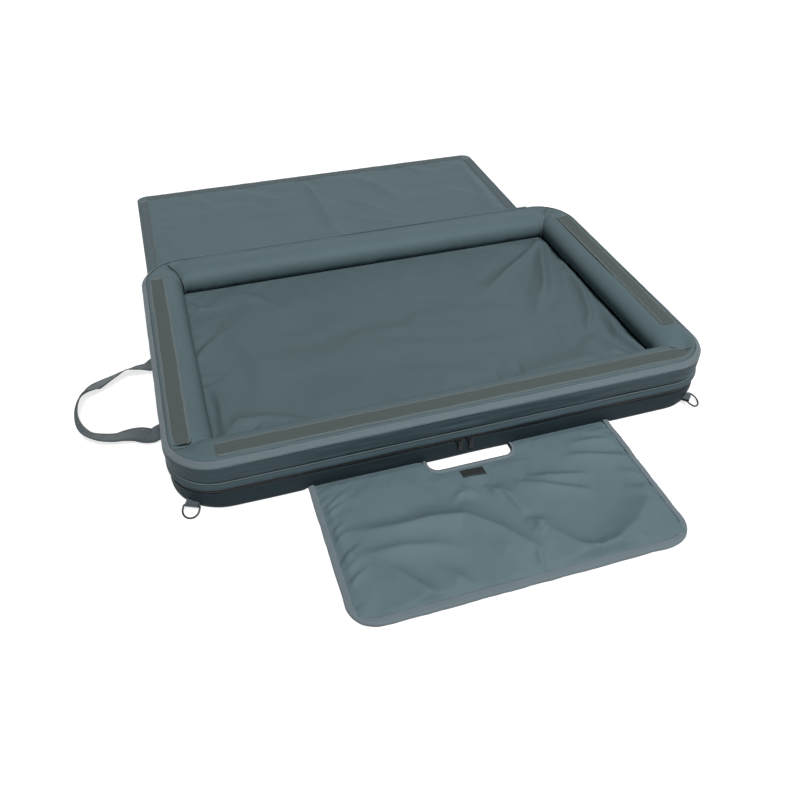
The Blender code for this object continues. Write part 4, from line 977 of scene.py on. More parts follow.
def cover_lift(x, y):
    """Height of the cover's panel above the ground: folds, ripples and puckered edges."""
    along = y - COVER_PLANE
    edge = np.minimum(np.minimum(x - COVER_LEFT, COVER_RIGHT - x), COVER_REACH - along)
    inner = smooth((edge - 0.026) / 0.020) * smooth((along - 0.01) / 0.05)
    slant = x * 0.35 + y
    wave = noise2(slant, x - y * 0.35, (0.028, 0.13), 101) * 0.0010 + noise2(x, y, (0.16, 0.09), 102) * 0.0012
    right = smooth((x - 0.02) / 0.12) * noise2(x + y * 0.4, y - x * 0.4, (0.12, 0.022), 103) * 0.0012
    pucker = noise2(x, y, (0.022, 0.022), 105) * 0.0010 + noise2(x, y, (0.010, 0.010), 106) * 0.0004
    rim = smooth(1.0 - edge / 0.040) * smooth(along / 0.05)
    lift = inner * (wave + right + 0.0012 + ridges(x, y, COVER_FOLDS) * 2.2) + rim * (pucker + 0.0006) * 0.35
    return 0.0016 + np.maximum(lift, -0.0008)


def cover_half_width(along):
    """How far in the panel's round far corners are."""
    past = np.maximum(along - (COVER_REACH - 0.025), 0.0)
    return 0.025 - np.sqrt(np.maximum(0.025 ** 2 - past ** 2, 0.0))


def make_cover():
    drop = np.linspace(COVER_TOP, 0.012, 18)
    bend = [(COVER_PLANE + 0.010 * (1 - cos(angle)), 0.0018 + 0.0102 * (1 - sin(angle)), cos(angle))
            for angle in np.linspace(0, pi / 2, 7)[1:]]
    flat = np.linspace(COVER_PLANE + 0.014, COVER_PLANE + COVER_REACH - 0.0004, 92)
    path = [(COVER_PLANE, height) for height in drop]
    path += [(y, height) for y, height, _ in bend]
    path += [(y, None) for y in flat]
    shares = np.linspace(0.0, 1.0, 150)
    grid = np.zeros((len(shares), len(path), 3))
    uv = np.zeros((len(shares), len(path), 2))
    along = 0.0
    before = None
    for column, (y, height) in enumerate(path):
        draw = float(cover_half_width(np.array(y - COVER_PLANE)))
        risen = 0.0 if height is None else float(smooth((height - 0.004) / (COVER_TOP - 0.004)))
        left = (COVER_LEFT + draw) * (1 - risen) - COVER_HALF_TOP * risen
        right = (COVER_RIGHT - draw) * (1 - risen) + COVER_HALF_TOP * risen
        x = left + (right - left) * shares
        if height is None:
            z = cover_lift(x, np.full(x.shape, y))
            place_y = np.full(x.shape, y)
        else:
            blend = smooth((0.03 - height) / 0.02)
            swell = noise2(x, np.full(x.shape, height), (0.10, 0.05), 107) * 0.0010 * (1 - blend)
            swell = swell * smooth((COVER_TOP - height) / 0.02)
            place_y = y + np.maximum(swell, -0.0002)
            z = np.full(x.shape, height)
        grid[:, column] = np.stack([x, place_y, z], -1)
        mark = np.array([y, 0.0 if height is None else height])
        if before is not None:
            along += float(np.linalg.norm(mark - before))
        before = mark
        uv[:, column, 0] = x
        uv[:, column, 1] = along
    panel = grid[:, -len(flat):]
    near = np.minimum(np.minimum(panel[..., 0] - COVER_LEFT, COVER_RIGHT - panel[..., 0]),
                      COVER_PLANE + COVER_REACH - panel[..., 1])
    pins = np.where((near < 0.028) | (panel[..., 1] < COVER_PLANE + 0.03), 1.0, 0.0)
    panel[...,
          2] = np.maximum(crumpled(panel[..., 0], panel[..., 1], panel[..., 2], pins, 0.003, 3.0, 0.0025),
                          0.0010)
    obj = skin("cover_sheet", grid, uv, MATERIALS["cover"], flip=True)
    thicken(obj, 0.0010)
    obj = applied(obj)
    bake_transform(obj)
    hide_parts("cover_drop", "cover_panel")
    make_hook_strips()


def hook_strip(side, x0, x1, y0, y1, along_x, seed):
    """Hook tape along an edge of the cover's panel, with a row of stitches by each of its long sides."""
    name = side + "_hook_strip"
    count_x = max(int((x1 - x0) / 0.006), 6)
    count_y = max(int((y1 - y0) / 0.006), 6)
    x, y = np.meshgrid(np.linspace(x0, x1, count_x), np.linspace(y0, y1, count_y), indexing="ij")
    lift = 0.0017 + 0.0003 * noise2(x, y, (0.012, 0.012), seed)
    grid = np.stack([x, y, cover_lift(x, y) + lift], -1)
    obj = skin(name, grid, np.stack([x, y], -1), MATERIALS["hook"])
    thicken(obj, 0.0010)
    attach(obj, "cover")
    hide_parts(side + "_hook_tape")
    rows = (1, count_y - 2) if along_x else (1, count_x - 2)
    for suffix, index in zip("ab", rows):
        line = grid[:, index] if along_x else grid[index, :]
        path = [(point, (0, 0, 1)) for point in line]
        stitches(name + "_stitches_" + suffix, path, 0.0002, "cover", MATERIALS["dark_thread_and_groove_shade"])


def make_hook_strips():
    near = COVER_PLANE + 0.055
    far = COVER_PLANE + COVER_REACH
    hook_strip("left", COVER_LEFT + 0.0015, COVER_LEFT + 0.027, near, far - 0.0285, False, 111)
    hook_strip("right", COVER_RIGHT - 0.027, COVER_RIGHT - 0.0015, near, far - 0.0285, False, 112)
    hook_strip("far", COVER_LEFT + 0.025, COVER_RIGHT - 0.025, far - 0.027, far - 0.0015, True, 113)


# Kneeling flap

def corner_arc(x, y, radius, start, end, count):
    """Points round an arc, after its first."""
    return [np.array([x + radius * cos(a), y + radius * sin(a)]) for a in np.linspace(start, end, count)[1:]]


def edge_frames(points, spacing, sign):
    """Even points along an edge, with directions across it."""
    even = resample(np.array(points), spacing)
    heading = np.gradient(even, axis=0)
    heading /= np.linalg.norm(heading, axis=1)[:, None]
    return even, np.stack([heading[:, 1], -heading[:, 0]], 1) * sign


def kneel_path(spacing=0.004):
    """The flap's outer edge from its left root round to its right root, with outward directions."""
    left, right, corner = KNEEL_LEFT, KNEEL_RIGHT, KNEEL_CORNER
    front = KNEEL_ROOT - KNEEL_DEPTH
    points = [np.array([left, y]) for y in np.linspace(KNEEL_ROOT, front + corner, 60)]
    points += corner_arc(left + corner, front + corner, corner, pi, 1.5 * pi, 20)
    points += [np.array([x, front]) for x in np.linspace(left + corner, right - corner, 110)[1:]]
    points += corner_arc(right - corner, front + corner, corner, 1.5 * pi, 2 * pi, 20)
    points += [np.array([right, y]) for y in np.linspace(front + corner, KNEEL_ROOT, 60)[1:]]
    return edge_frames(points, spacing, 1)


def hole_path(spacing=0.003):
    """The hand hole's edge from right to left, with directions into the hole."""
    left, right, corner = HOLE_LEFT, HOLE_RIGHT, HOLE_CORNER
    front = KNEEL_ROOT - HOLE_DEPTH
    points = [np.array([right, y]) for y in np.linspace(KNEEL_ROOT, front + corner, 8)]
    points += corner_arc(right - corner, front + corner, corner, 0, -pi / 2, 14)
    points += [np.array([x, front]) for x in np.linspace(right - corner, left + corner, 30)[1:]]
    points += corner_arc(left + corner, front + corner, corner, -pi / 2, -pi, 14)
    points += [np.array([left, y]) for y in np.linspace(front + corner, KNEEL_ROOT, 8)[1:]]
    return edge_frames(points, spacing, -1)


def kneel_edge(x, y):
    """Distance in from the flap's bound edges."""
    side = np.minimum(x - KNEEL_LEFT, KNEEL_RIGHT - x)
    front = y - (KNEEL_ROOT - KNEEL_DEPTH)
    aside = np.maximum(np.maximum(HOLE_LEFT - x, x - HOLE_RIGHT), 0.0)
    ahead = np.maximum(KNEEL_ROOT - HOLE_DEPTH - y, 0.0)
    hole = np.hypot(aside, ahead)
    return np.minimum(np.minimum(side, front), hole + 0.004)


KNEEL_FOLDS = (
    (18, 26, (-268, -446, 5), (-215, -463, 42), (-166, -472, 72), (-110, -472, 80), (-60, -482, 80),
     (-16, -522, 80), (18, -566, 66), (38, -592, 20)),
    (15, 22, (-262, -501, 5), (-215, -509, 42), (-170, -513, 60), (-118, -523, 44), (-70, -543, 0)),
    (15, 20, (-225, -517, 0), (-192, -557, 55), (-160, -599, 62), (-136, -615, 5)),
    (14, 20, (-135, -551, 0), (-108, -588, 52), (-80, -615, 0)),
    (14, 20, (-60, -520, 0), (-20, -560, 36), (10, -610, 0)),
    (18, 26, (48, -524, 15), (66, -556, 62), (90, -590, 78), (118, -606, 80), (160, -596, 66),
     (205, -572, 50), (245, -536, 30), (268, -496, 0)),
    (14, 10, (36, -510, 0), (52, -528, 46), (46, -556, 0)),
    (14, 7, (16, -425, 0), (30, -455, 50), (40, -498, 22), (44, -510, 0)),
    (9, 6, (0, -418, 0), (12, -440, 34), (22, -466, 0)),
    (6, 5, (-60, -436, 0), (-42, -426, 26), (-18, -436, 0)),
    (6, 5, (-40, -410, 0), (-28, -422, 26), (-10, -446, 0)),
    (8, 12, (74, -424, 0), (110, -437, 46), (166, -449, 30), (190, -452, 0)),
    (7, 14, (52, -428, 0), (90, -452, 48), (151, -481, 40), (175, -488, 0)),
    (7, 14, (150, -398, 0), (200, -412, 42), (262, -430, 22)),
    (7, 12, (180, -370, 0), (225, -380, 40), (270, -384, 14)),
    (5, 9, (215, -352, 0), (245, -356, 30), (274, -354, 10)),
    (5, 8, (232, -452, 0), (254, -470, 30), (274, -490, 10)),
    (5, 8, (226, -492, 0), (250, -510, 28), (272, -540, 10)),
    (4, 5, (104, -585, 0), (114, -600, 24), (118, -618, 10)),
    (4, 5, (150, -590, 0), (158, -602, 24), (166, -618, 10)),
    (4, 5, (196, -588, 0), (204, -602, 22), (208, -618, 10)),
    (5, 7, (30, -566, 0), (24, -592, 34), (20, -620, 24)),
    (3, 5, (-272, -394, 10), (-250, -381, 30), (-222, -360, 0)),
    (3, 5, (-272, -410, 10), (-254, -399, 28), (-232, -384, 0)),
    (3, 4, (-273, -450, 10), (-258, -440, 24), (-240, -428, 0)),
    (3, 4, (-273, -467, 10), (-258, -459, 24), (-242, -450, 0)),
    (3, 5, (-273, -506, 10), (-254, -495, 28), (-228, -482, 0)),
    (3, 4, (-272, -526, 10), (-256, -517, 24), (-238, -507, 0)),
    (3, 5, (-270, -552, 10), (-252, -538, 28), (-228, -524, 0)),
)


def kneel_height(x, y):
    """The flap's top surface: padded crown, folds, and puckers in from the binding."""
    edge = kneel_edge(x, y)
    root = KNEEL_ROOT - y
    crown = smooth((edge - 0.0095) / 0.012) * smooth((root + 0.002) / 0.05)
    full = smooth(edge / 0.10)
    side = np.minimum(x - KNEEL_LEFT, KNEEL_RIGHT - x)
    front = y - (KNEEL_ROOT - KNEEL_DEPTH)
    near_side = smooth(1 - side / 0.055) * smooth((side - 0.006) / 0.006)
    near_front = smooth(1 - front / 0.040) * smooth((front - 0.006) / 0.006)
    pucker = noise2(y - side * 0.35, side, (0.0095, 0.07), 121) * near_side * 0.0022
    pucker = pucker + noise2(x + front * 0.3, front, (0.017, 0.05), 122) * near_front * 0.0012
    soft = noise2(x, y, (0.08, 0.06), 123) * 0.0012 + noise2(x + y * 0.5, y, (0.034, 0.026), 124) * 0.0007
    folds = ridges(x, y, KNEEL_FOLDS) * 2.1
    sewn = KNEEL_EDGE - 0.0012 + 0.0016 * smooth((edge - 0.003) / 0.007)
    return sewn + crown * (0.0024 + 0.0018 * full + folds + soft) + pucker * smooth(root / 0.02)


# Finished heights, for what is sewn on top
SETTLED = {}


def make_flap():
    tucked = KNEEL_ROOT + 0.0020
    along_y = np.concatenate([np.linspace(KNEEL_ROOT - KNEEL_DEPTH - 0.002, KNEEL_ROOT - 0.0012, 92),
                              [KNEEL_ROOT + 0.0004, tucked]])
    x, y = np.meshgrid(np.linspace(KNEEL_LEFT - 0.002, KNEEL_RIGHT + 0.002, 174), along_y, indexing="ij")
    edge = kneel_edge(x, y)
    z = kneel_height(x, y)
    pins = np.where((edge < 0.010) | (y > KNEEL_ROOT - 0.006), 1.0, 0.0)
    z = crumpled(x, y, z, pins, 0.004, 3.0, 0.0030)
    z = np.maximum(z, 0.0045)
    # the root goes in under the base's foot
    z = z - (z - 0.0034) * smooth((y - KNEEL_ROOT + 0.0130) / 0.0150)
    SETTLED["flap"] = (x[:, 0], y[0], z)
    # cells beyond the flap's outline are left out, and the rest end on it
    edge_points, _ = kneel_path(0.001)
    hole_points, _ = hole_path(0.001)
    ends = [np.array([[side, tucked + 0.0001]]) for side in (KNEEL_RIGHT, HOLE_RIGHT, HOLE_LEFT, KNEEL_LEFT)]
    outline = np.concatenate([edge_points, ends[0], ends[1], hole_points, ends[2], ends[3]])
    inside = inside_polygon(x, y, outline)
    rows, columns = x.shape
    cells = []
    for row in range(rows - 1):
        for column in range(columns - 1):
            cell = [(row, column), (row + 1, column), (row + 1, column + 1), (row, column + 1)]
            if any(inside[a, b] for a, b in cell):
                cells.append(cell)
    rim = resample(outline, 0.001)
    for row, column in sorted({corner for cell in cells for corner in cell if not inside[corner]}):
        nearest = np.hypot(rim[:, 0] - x[row, column], rim[:, 1] - y[row, column]).argmin()
        x[row, column], y[row, column] = rim[nearest]
    top = np.stack([x, y, z], -1)
    low = np.stack([x, y, np.full(x.shape, 0.0010)], -1)
    points = np.concatenate([top.reshape(-1, 3), low.reshape(-1, 3)])
    uvs = np.concatenate([np.stack([x, y], -1).reshape(-1, 2)] * 2)
    faces = []
    offset = rows * columns
    used = {}
    for cell in cells:
        ids = [a * columns + b for a, b in cell]
        faces.append(tuple(ids))
        faces.append(tuple(offset + i for i in ids[::-1]))
        for first, second in zip(ids, ids[1:] + ids[:1]):
            used[(first, second)] = used.get((first, second), 0) + 1
    for first, second in list(used):
        if (second, first) not in used:
            faces.append((second, first, offset + first, offset + second))
    keep = sorted({index for face in faces for index in face})
    remap = {old: new for new, old in enumerate(keep)}
    faces = [tuple(remap[index] for index in face) for face in faces]
    obj = make_mesh("flap_pad", points[keep], faces, uvs[keep], MATERIALS["flap"])
    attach(obj, "kneeling_flap")
    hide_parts("kneel_top", "kneel_foam", "kneel_underside")
    make_flap_bindings()
    make_patch()


def settled_height(name, x, y):
    """Height of a finished sheet at a place, between its grid's points."""
    across, along, z = SETTLED[name]
    row = np.clip(np.interp(x, across, np.arange(len(across))), 0, len(across) - 1.001)
    column = np.clip(np.interp(y, along, np.arange(len(along))), 0, len(along) - 1.001)
    i, j = np.floor(row).astype(int), np.floor(column).astype(int)
    u, v = row - i, column - j
    return (z[i, j] * (1 - u) * (1 - v) + z[i + 1, j] * u * (1 - v) + z[i, j + 1] * (1 - u) * v
            + z[i + 1, j + 1] * u * v)


def inside_polygon(x, y, polygon):
    inside = np.zeros(x.shape, bool)
    for (x0, y0), (x1, y1) in zip(polygon, np.roll(polygon, -1, axis=0)):
        crosses = (y0 > y) != (y1 > y)
        with np.errstate(divide="ignore", invalid="ignore"):
            at = (x1 - x0) * (y - y0) / (y1 - y0) + x0
        inside ^= crosses & (x < at)
    return inside


def edge_tape(name, path, outs, width, node, seed, wave):
    """Binding tape folded over an edge, puckered along it, with one row of dark stitches laid almost end to end,
    partly stitching and partly painted shade of the groove at the tape's inner edge.
    """
    along = lengths_along(path)
    section = [(-width, 0.0004), (0.0, 0.0006), (0.0011, 0.0022), (0.0013, KNEEL_EDGE * 0.5),
               (0.0011, KNEEL_EDGE - 0.0006),
               (0.0, KNEEL_EDGE + 0.0006), (-width * 0.5, KNEEL_EDGE + 0.0009),
               (-width * 0.85, KNEEL_EDGE + 0.0009),
               (-width, KNEEL_EDGE + 0.0003)]
    section = resample(np.array(section), 0.0016)
    across = lengths_along(section)
    count = len(path)
    grid = np.zeros((count, len(section), 3))
    uv = np.zeros((count, len(section), 2))

    def ripple(size, number):
        return noise2(along, along * 0, (size, 1.0), seed + number)

    sway = ripple(0.028, 0) * wave + ripple(0.011, 1) * wave * 0.4
    lift = np.maximum(ripple(0.020, 2) * wave * 0.6, -0.0002)
    tuck = ripple(0.009, 3)
    for column, (out, height) in enumerate(section):
        top = smooth((height - 0.003) / 0.003)
        reach = out * (1.0 - 0.22 * np.abs(outs[:, 0])
                       * (out < -0.004)) + sway * (0.5 if out < -0.004 else 1.0)
        grid[:, column, :2] = path + outs * reach[:, None]
        grid[:, column, 2] = height + lift * top + tuck * 0.00025 * top
        uv[:, column, 0] = along
        uv[:, column, 1] = across[column]
    obj = skin(name, grid, uv, MATERIALS["binding"], flip=True)
    thicken(obj, 0.0008)
    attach(obj, "kneeling_flap")
    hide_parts(node)
    # the stitches nearly touch and are wide, so that they also paint the shade of the groove beside the pad
    column = len(section) - 2
    line = [(grid[row, column], (0, 0, 1)) for row in range(count)]
    stitches(name + "_stitches", line, 0.0002, "kneeling_flap", MATERIALS["dark_thread_and_groove_shade"], 0.0034, 0.0004,
             0.0017)


def make_flap_bindings():
    path, outs = kneel_path()
    edge_tape("flap_edge_tape", path, outs, 0.0112, "kneel_binding", 131, 0.0010)
    path, outs = hole_path()
    edge_tape("hole_edge_tape", path, outs, 0.0065, "hand_hole_binding", 135, 0.0004)


def make_patch():
    """A small plain cloth patch sewn on below the hand hole."""
    left, right, front, rear = PATCH_SIDES
    x, y = np.meshgrid(np.linspace(left, right, 30), np.linspace(front, rear, 15), indexing="ij")
    edge = np.minimum(np.minimum(x - left, right - x), np.minimum(y - front, rear - y))
    z = settled_height("flap", x, y) + 0.0009 + 0.0006 * smooth(edge / 0.004)
    obj = skin("plain_patch", np.stack([x, y, z], -1), np.stack([x, y], -1), MATERIALS["patch"])
    thicken(obj, 0.0008)
    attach(obj, "kneeling_flap")
    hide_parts("blank_patch")
    left, right, front, rear = left + 0.0012, right - 0.0012, front + 0.0012, rear - 0.0012
    inner = [(left, front), (right, front), (right, rear), (left, rear), (left, front)]
    line = resample(np.array(inner), 0.003)
    heights = settled_height("flap", line[:, 0], line[:, 1])
    path = [((px, py, float(pz) + 0.0016), (0, 0, 1)) for (px, py), pz in zip(line, heights)]
    stitches("patch_stitches", path, 0.0, "kneeling_flap", MATERIALS["thread"], 0.0022, 0.0008, 0.0005,
             0.0003)


# Handle, rings and zip hardware

ROUTE = (
    (-0.5042, -0.1180, 0.0, 0.0000), (-0.5280, -0.1220, 0.0, 0.0060), (-0.5480, -0.1130, 3.0, 0.0060),
    (-0.5700, -0.1100, 12.0, 0.0040), (-0.5900, -0.1080, 20.0, 0.0000), (-0.6120, -0.1020, 26.0, 0.0000),
    (-0.6320, -0.0900, 40.0, 0.0000), (-0.6430, -0.0700, 65.0, 0.0000), (-0.6500, -0.0330, 98.0, 0.0000),
    (-0.6460, 0.0130, 125.0, 0.0000), (-0.6309, 0.0375, 150.0, 0.0000), (-0.6171, 0.0511, 163.0, 0.0020),
    (-0.5851, 0.0662, 150.0, 0.0020), (-0.5600, 0.0770, 143.0, 0.0030), (-0.5375, 0.0783, 155.0, 0.0060),
    (-0.5042, 0.0880, 180.0, 0.0000),
)


def make_handle():
    route = np.array(ROUTE)
    last = len(route) - 1
    stations = []
    for index in range(last):
        p0, p1 = route[max(index - 1, 0)], route[index]
        p2, p3 = route[index + 1], route[min(index + 2, last)]
        for share in np.linspace(0, 1, 10, endpoint=False):
            stations.append(0.5 * (2 * p1 + (p2 - p0) * share + (2 * p0 - 5 * p1 + 4 * p2 - p3) * share ** 2
                                   + (3 * p1 - p0 - 3 * p2 + p3) * share ** 3))
    stations.append(route[-1])
    stations = np.array(stations)
    along = lengths_along(stations[:, :2])
    half = STRAP_HALF
    section = [(-1.0, -0.5), (-1.0, 0.5), (-0.5, 0.5), (0.0, 0.5), (0.5, 0.5), (1.0, 0.5), (1.0, -0.5),
               (0.5, -0.5),
               (0.0, -0.5), (-0.5, -0.5)]
    thick = STRAP_THICK
    grid = np.zeros((len(stations), len(section), 3))
    uv = np.zeros((len(stations), len(section), 2))
    for index, (x, y, lean, lift) in enumerate(stations):
        before, after = stations[max(index - 1, 0)], stations[min(index + 1, len(stations) - 1)]
        heading = np.array([after[0] - before[0], after[1] - before[1]])
        heading /= np.linalg.norm(heading)
        if index == 0:
            heading = np.array([-1.0, 0.0])
        if index == len(stations) - 1:
            heading = np.array([1.0, 0.0])
        turn = radians(lean)
        across = np.array([-heading[1] * cos(turn), heading[0] * cos(turn), sin(turn)])
        forward = np.array([heading[0], heading[1], 0.0])
        normal = np.cross(forward, across)
        tip = min(np.hypot(*(stations[0, :2] - (x, y))), np.hypot(*(stations[-1, :2] - (x, y))))
        rise = float(smooth(1.0 - tip / 0.045))
        height = max(half * abs(sin(turn)) + thick + lift, 0.011 * rise)
        centre = np.array([x, y, height])
        for column, (side, face) in enumerate(section):
            cup = (1 - side
                   * side) * 0.0008 * float(noise2(np.array(along[index]), np.array(0.0), (0.05, 1.0), 141))
            grid[index, column] = centre + across * half * side + normal * (face * thick + cup)
            uv[index, column] = (along[index], side * half + (0.0 if face > 0 else 0.05))
    obj = skin("handle_strap", grid, uv, MATERIALS["strap"], cross_wrap=True, caps=True)
    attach(obj, "handle")
    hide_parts("side_handle")
    for suffix, y in (("front", -0.118), ("rear", 0.088)):
        make_anchor(suffix, y)


def make_anchor(suffix, y):
    """The strap's sewn end on the base's side, with a crossed box of stitches."""
    low, high = ANCHOR_SPAN
    a, b = np.meshgrid(np.linspace(y - STRAP_HALF, y + STRAP_HALF, 14), np.linspace(low, high, 9),
                       indexing="ij")
    edge = np.minimum(np.minimum(a - y + STRAP_HALF, y + STRAP_HALF - a), np.minimum(b - low, high - b))
    x = -LENGTH / 2 - 0.0026 - 0.0008 * smooth(edge / 0.002)
    grid = np.stack([x, a, b], -1)
    obj = skin("strap_end_" + suffix, grid, np.stack([a, b], -1), MATERIALS["strap"], flip=True)
    thicken(obj, 0.0016)
    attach(obj, "base")
    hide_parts("handle_anchor_" + suffix)
    left, right, bottom, top = y - 0.015, y + 0.015, low + 0.004, high - 0.004
    corners = [(left, bottom), (right, bottom), (right, top), (left, top), (left, bottom), (right, top),
               (right, bottom),
               (left, top)]
    path = [((-0.5036, py, pz), (-1, 0, 0)) for py, pz in resample(np.array(corners), 0.003)]
    stitches("strap_end_stitches_" + suffix, path, 0.0, "base", MATERIALS["thread"], 0.0024, 0.0009, 0.0006,
             0.0004)


RINGS = {"left": (-1.0, 231.0, 245.0), "right": (1.0, 300.0, 315.0)}


def ring_frame(side):
    side_x, place, heading = RINGS[side]
    middle = Vector((side_x * (LENGTH / 2 - RADIUS), -(WIDTH / 2 - RADIUS), 0.0))
    turn = radians(place)
    centre = middle + Vector((cos(turn), sin(turn), 0.0)) * 0.0937
    centre.z = 0.012
    way = radians(heading)
    return centre, Vector((cos(way), sin(way), 0.0)), middle


def tube(name, points, radius, material, closed, sides=14):
    points = np.array([tuple(point) for point in points])
    count = len(points)
    if closed:
        heading = np.roll(points, -1, axis=0) - np.roll(points, 1, axis=0)
    else:
        heading = np.gradient(points, axis=0)
    heading /= np.linalg.norm(heading, axis=1)[:, None]
    normal = np.cross(points[1] - points[0], points[count // 2] - points[0])
    normal /= np.linalg.norm(normal)
    side = np.cross(heading, normal)
    side /= np.linalg.norm(side, axis=1)[:, None]
    angles = np.linspace(0, 2 * pi, sides, endpoint=False)
    grid = points[:, None] + radius * (np.cos(angles)[None, :, None] * side[:, None]
                                       + np.sin(angles)[None, :, None] * normal[None, None])
    along = lengths_along(points)
    uv = np.stack(np.broadcast_arrays(along[:, None], radius * angles[None, :]), -1)
    return skin(name, grid, uv, material, wrap=closed, cross_wrap=True, caps=not closed)


def make_rings():
    for side in RINGS:
        centre, outward, middle = ring_frame(side)
        across = Vector((-outward.y, outward.x, 0.0))
        tilt = radians(27.0)
        down = outward * cos(tilt) - Vector((0.0, 0.0, 1.0)) * sin(tilt)
        flat = [(0.0, aside) for aside in np.linspace(0.011, -0.011, 8)]
        flat += [(0.003 - 0.003 * cos(a), -0.011 - 0.003 * sin(a)) for a in np.linspace(0, pi / 2, 5)[1:]]
        flat += [(out, -0.014) for out in np.linspace(0.004, 0.008, 3)]
        flat += [(0.008 + 0.014 * cos(a), 0.014 * sin(a)) for a in np.linspace(-pi / 2, pi / 2, 25)[1:-1]]
        flat += [(out, 0.014) for out in np.linspace(0.008, 0.004, 3)]
        flat += [(0.003 - 0.003 * cos(a), 0.011 + 0.003 * sin(a)) for a in np.linspace(pi / 2, 0, 5)[:-1]]
        points = [centre + down * out + across * aside for out, aside in flat]
        obj = tube("wire_ring_" + side, points, RING_WIRE, MATERIALS["metal"], True)
        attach(obj, "ring_" + side)
        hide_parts("d_ring_" + side)
        make_tab(side, centre, outward, middle, across)


def make_tab(side, centre, outward, middle, across):
    """Webbing folded round the ring's bar and sewn to itself."""
    wrap = RING_WIRE + 0.0003 + 0.0007
    edge = 0.085 + 0.0012 + 0.0003
    asides = np.linspace(-0.0115, 0.0115, 9)
    columns = 22
    grid = np.zeros((len(asides), columns, 3))
    uv = np.zeros((len(asides), columns, 2))
    for row, aside in enumerate(asides):
        start = centre + across * aside - middle
        start.z = 0.0
        ahead = start.dot(outward)
        back = -ahead + (edge * edge - start.length_squared + ahead * ahead) ** 0.5
        line = [(back + (0 - back) * share, wrap - 0.0004 * sin(pi * share))
                for share in np.linspace(0, 1, 6)]
        line += [(wrap * cos(a), wrap * sin(a)) for a in np.linspace(pi / 2, -pi / 2, 12)[1:-1]]
        line += [(back * share, -wrap + 0.0004 * sin(pi * share)) for share in np.linspace(0, 1, 6)]
        marks = lengths_along(np.array(line))
        for column, (out, up) in enumerate(line):
            point = centre + across * aside + outward * out + Vector((0, 0, up))
            grid[row, column] = point
            uv[row, column] = (marks[column], aside)
    obj = skin("ring_tab_web_" + side, grid, uv, MATERIALS["strap"])
    thicken(obj, 0.0012, 0.0)
    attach(obj, "base")
    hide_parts("ring_tab_" + side)


def finish_hardware():
    """The zip's sliders and pulls keep their solids and take finer finishes."""
    for name, material in (("zip_slider_", "zip_metal"), ("zip_pull_", "rubber")):
        for side in ("left", "right"):
            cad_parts[name + side].data.materials[0] = MATERIALS[material]


# Camera, floor and light

def make_camera():
    data = bpy.data.cameras.new("camera")
    data.sensor_width = 36.0
    data.lens = 35.17
    camera = placed("camera", data)
    yaw, pitch, roll = radians(-17.847), radians(40.659), radians(0.235)
    forward = Vector((-sin(yaw) * cos(pitch), cos(yaw) * cos(pitch), -sin(pitch)))
    right = Vector((cos(yaw), sin(yaw), 0.0))
    up = right.cross(forward)
    side = right * cos(roll) + up * sin(roll)
    top = up * cos(roll) - right * sin(roll)
    turn = Matrix((side, top, -forward)).transposed()
    camera.matrix_world = Matrix.Translation(Vector((-0.4132, -1.2423, 0.9811))) @ turn.to_4x4()
    bpy.context.scene.camera = camera


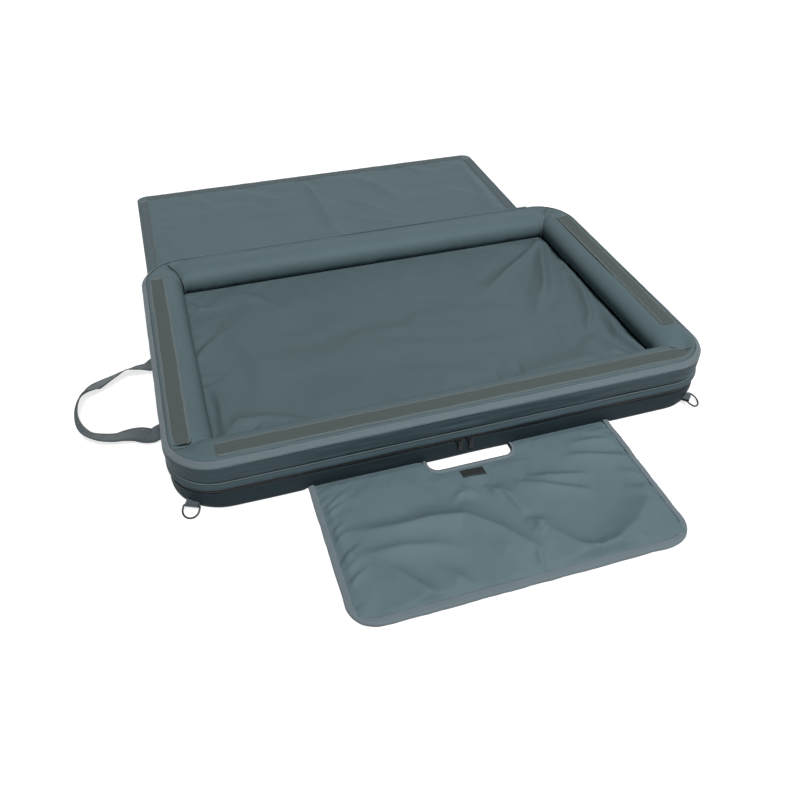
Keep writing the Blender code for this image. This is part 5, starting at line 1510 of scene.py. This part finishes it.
def make_floor_and_light():
    mesh = bpy.data.meshes.new("floor")
    size = 9.0
    mesh.from_pydata([(-size, -size, -0.0002), (size, -size, -0.0002), (size, size, -0.0002),
                      (-size, size, -0.0002)],
                     [], [(0, 1, 2, 3)])
    floor = placed("floor", mesh)
    material = bpy.data.materials.new("floor_white")
    material.use_nodes = True
    tree = material.node_tree
    shader = tree.nodes["Principled BSDF"]
    shader.inputs["Base Color"].default_value = (0.40, 0.40, 0.40, 1)
    shader.inputs["Roughness"].default_value = 0.9
    shader.inputs["Specular IOR Level"].default_value = 0.0
    shader.inputs["Emission Color"].default_value = (1, 1, 1, 1)
    glow = tree.nodes.new("ShaderNodeMath")
    glow.operation = "MULTIPLY"
    glow.inputs[1].default_value = 0.78
    tree.links.new(seen_rays(tree), glow.inputs[0])
    tree.links.new(glow.outputs[0], shader.inputs["Emission Strength"])
    mesh.materials.append(material)
    floor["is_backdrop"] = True

    world = bpy.data.worlds.new("studio")
    bpy.context.scene.world = world
    world.use_nodes = True
    tree = world.node_tree
    background = tree.nodes["Background"]
    background.inputs["Color"].default_value = (1, 1, 1, 1)
    strength = tree.nodes.new("ShaderNodeMapRange")
    strength.inputs["To Min"].default_value = 0.03
    strength.inputs["To Max"].default_value = 1.0
    tree.links.new(seen_rays(tree), strength.inputs["Value"])
    tree.links.new(strength.outputs[0], background.inputs["Strength"])

    sky = bpy.data.lights.new("overhead", "SUN")
    sky.energy = 2.95
    sky.angle = radians(18)
    lamp = placed("overhead", sky)
    lamp.rotation_euler = Vector((-0.04, 0.55, -1.0)).to_track_quat("-Z", "Y").to_euler()

    data = bpy.data.lights.new("softbox", "AREA")
    data.shape = "RECTANGLE"
    data.size = 0.6
    data.size_y = 0.6
    data.energy = 5.0
    lamp = placed("softbox", data)
    lamp.location = (0.40, -0.50, 1.50)
    lamp.rotation_euler = (Vector((0.20, -0.05, 0.0)) - lamp.location).to_track_quat("-Z", "Y").to_euler()
    bpy.context.scene.view_settings.view_transform = "Standard"


def seen_rays(tree):
    """1 for camera, mirror and glass rays, 0 for the rest."""
    path = tree.nodes.new("ShaderNodeLightPath")
    first = tree.nodes.new("ShaderNodeMath")
    first.operation = "MAXIMUM"
    tree.links.new(path.outputs["Is Camera Ray"], first.inputs[0])
    tree.links.new(path.outputs["Is Glossy Ray"], first.inputs[1])
    second = tree.nodes.new("ShaderNodeMath")
    second.operation = "MAXIMUM"
    tree.links.new(first.outputs[0], second.inputs[0])
    tree.links.new(path.outputs["Is Transmission Ray"], second.inputs[1])
    return second.outputs[0]


make_camera()
make_floor_and_light()
make_base()
make_zip()
make_side_band()
make_walls()
make_rim()
make_tape_strips()
make_liner()
make_floor()
make_cover()
make_flap()
make_handle()
make_rings()
finish_hardware()

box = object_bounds()
dumps({"cad": [list(map(float, c)) for c in CAD_BOX],
                                             "visual": [list(map(float, c)) for c in box]})
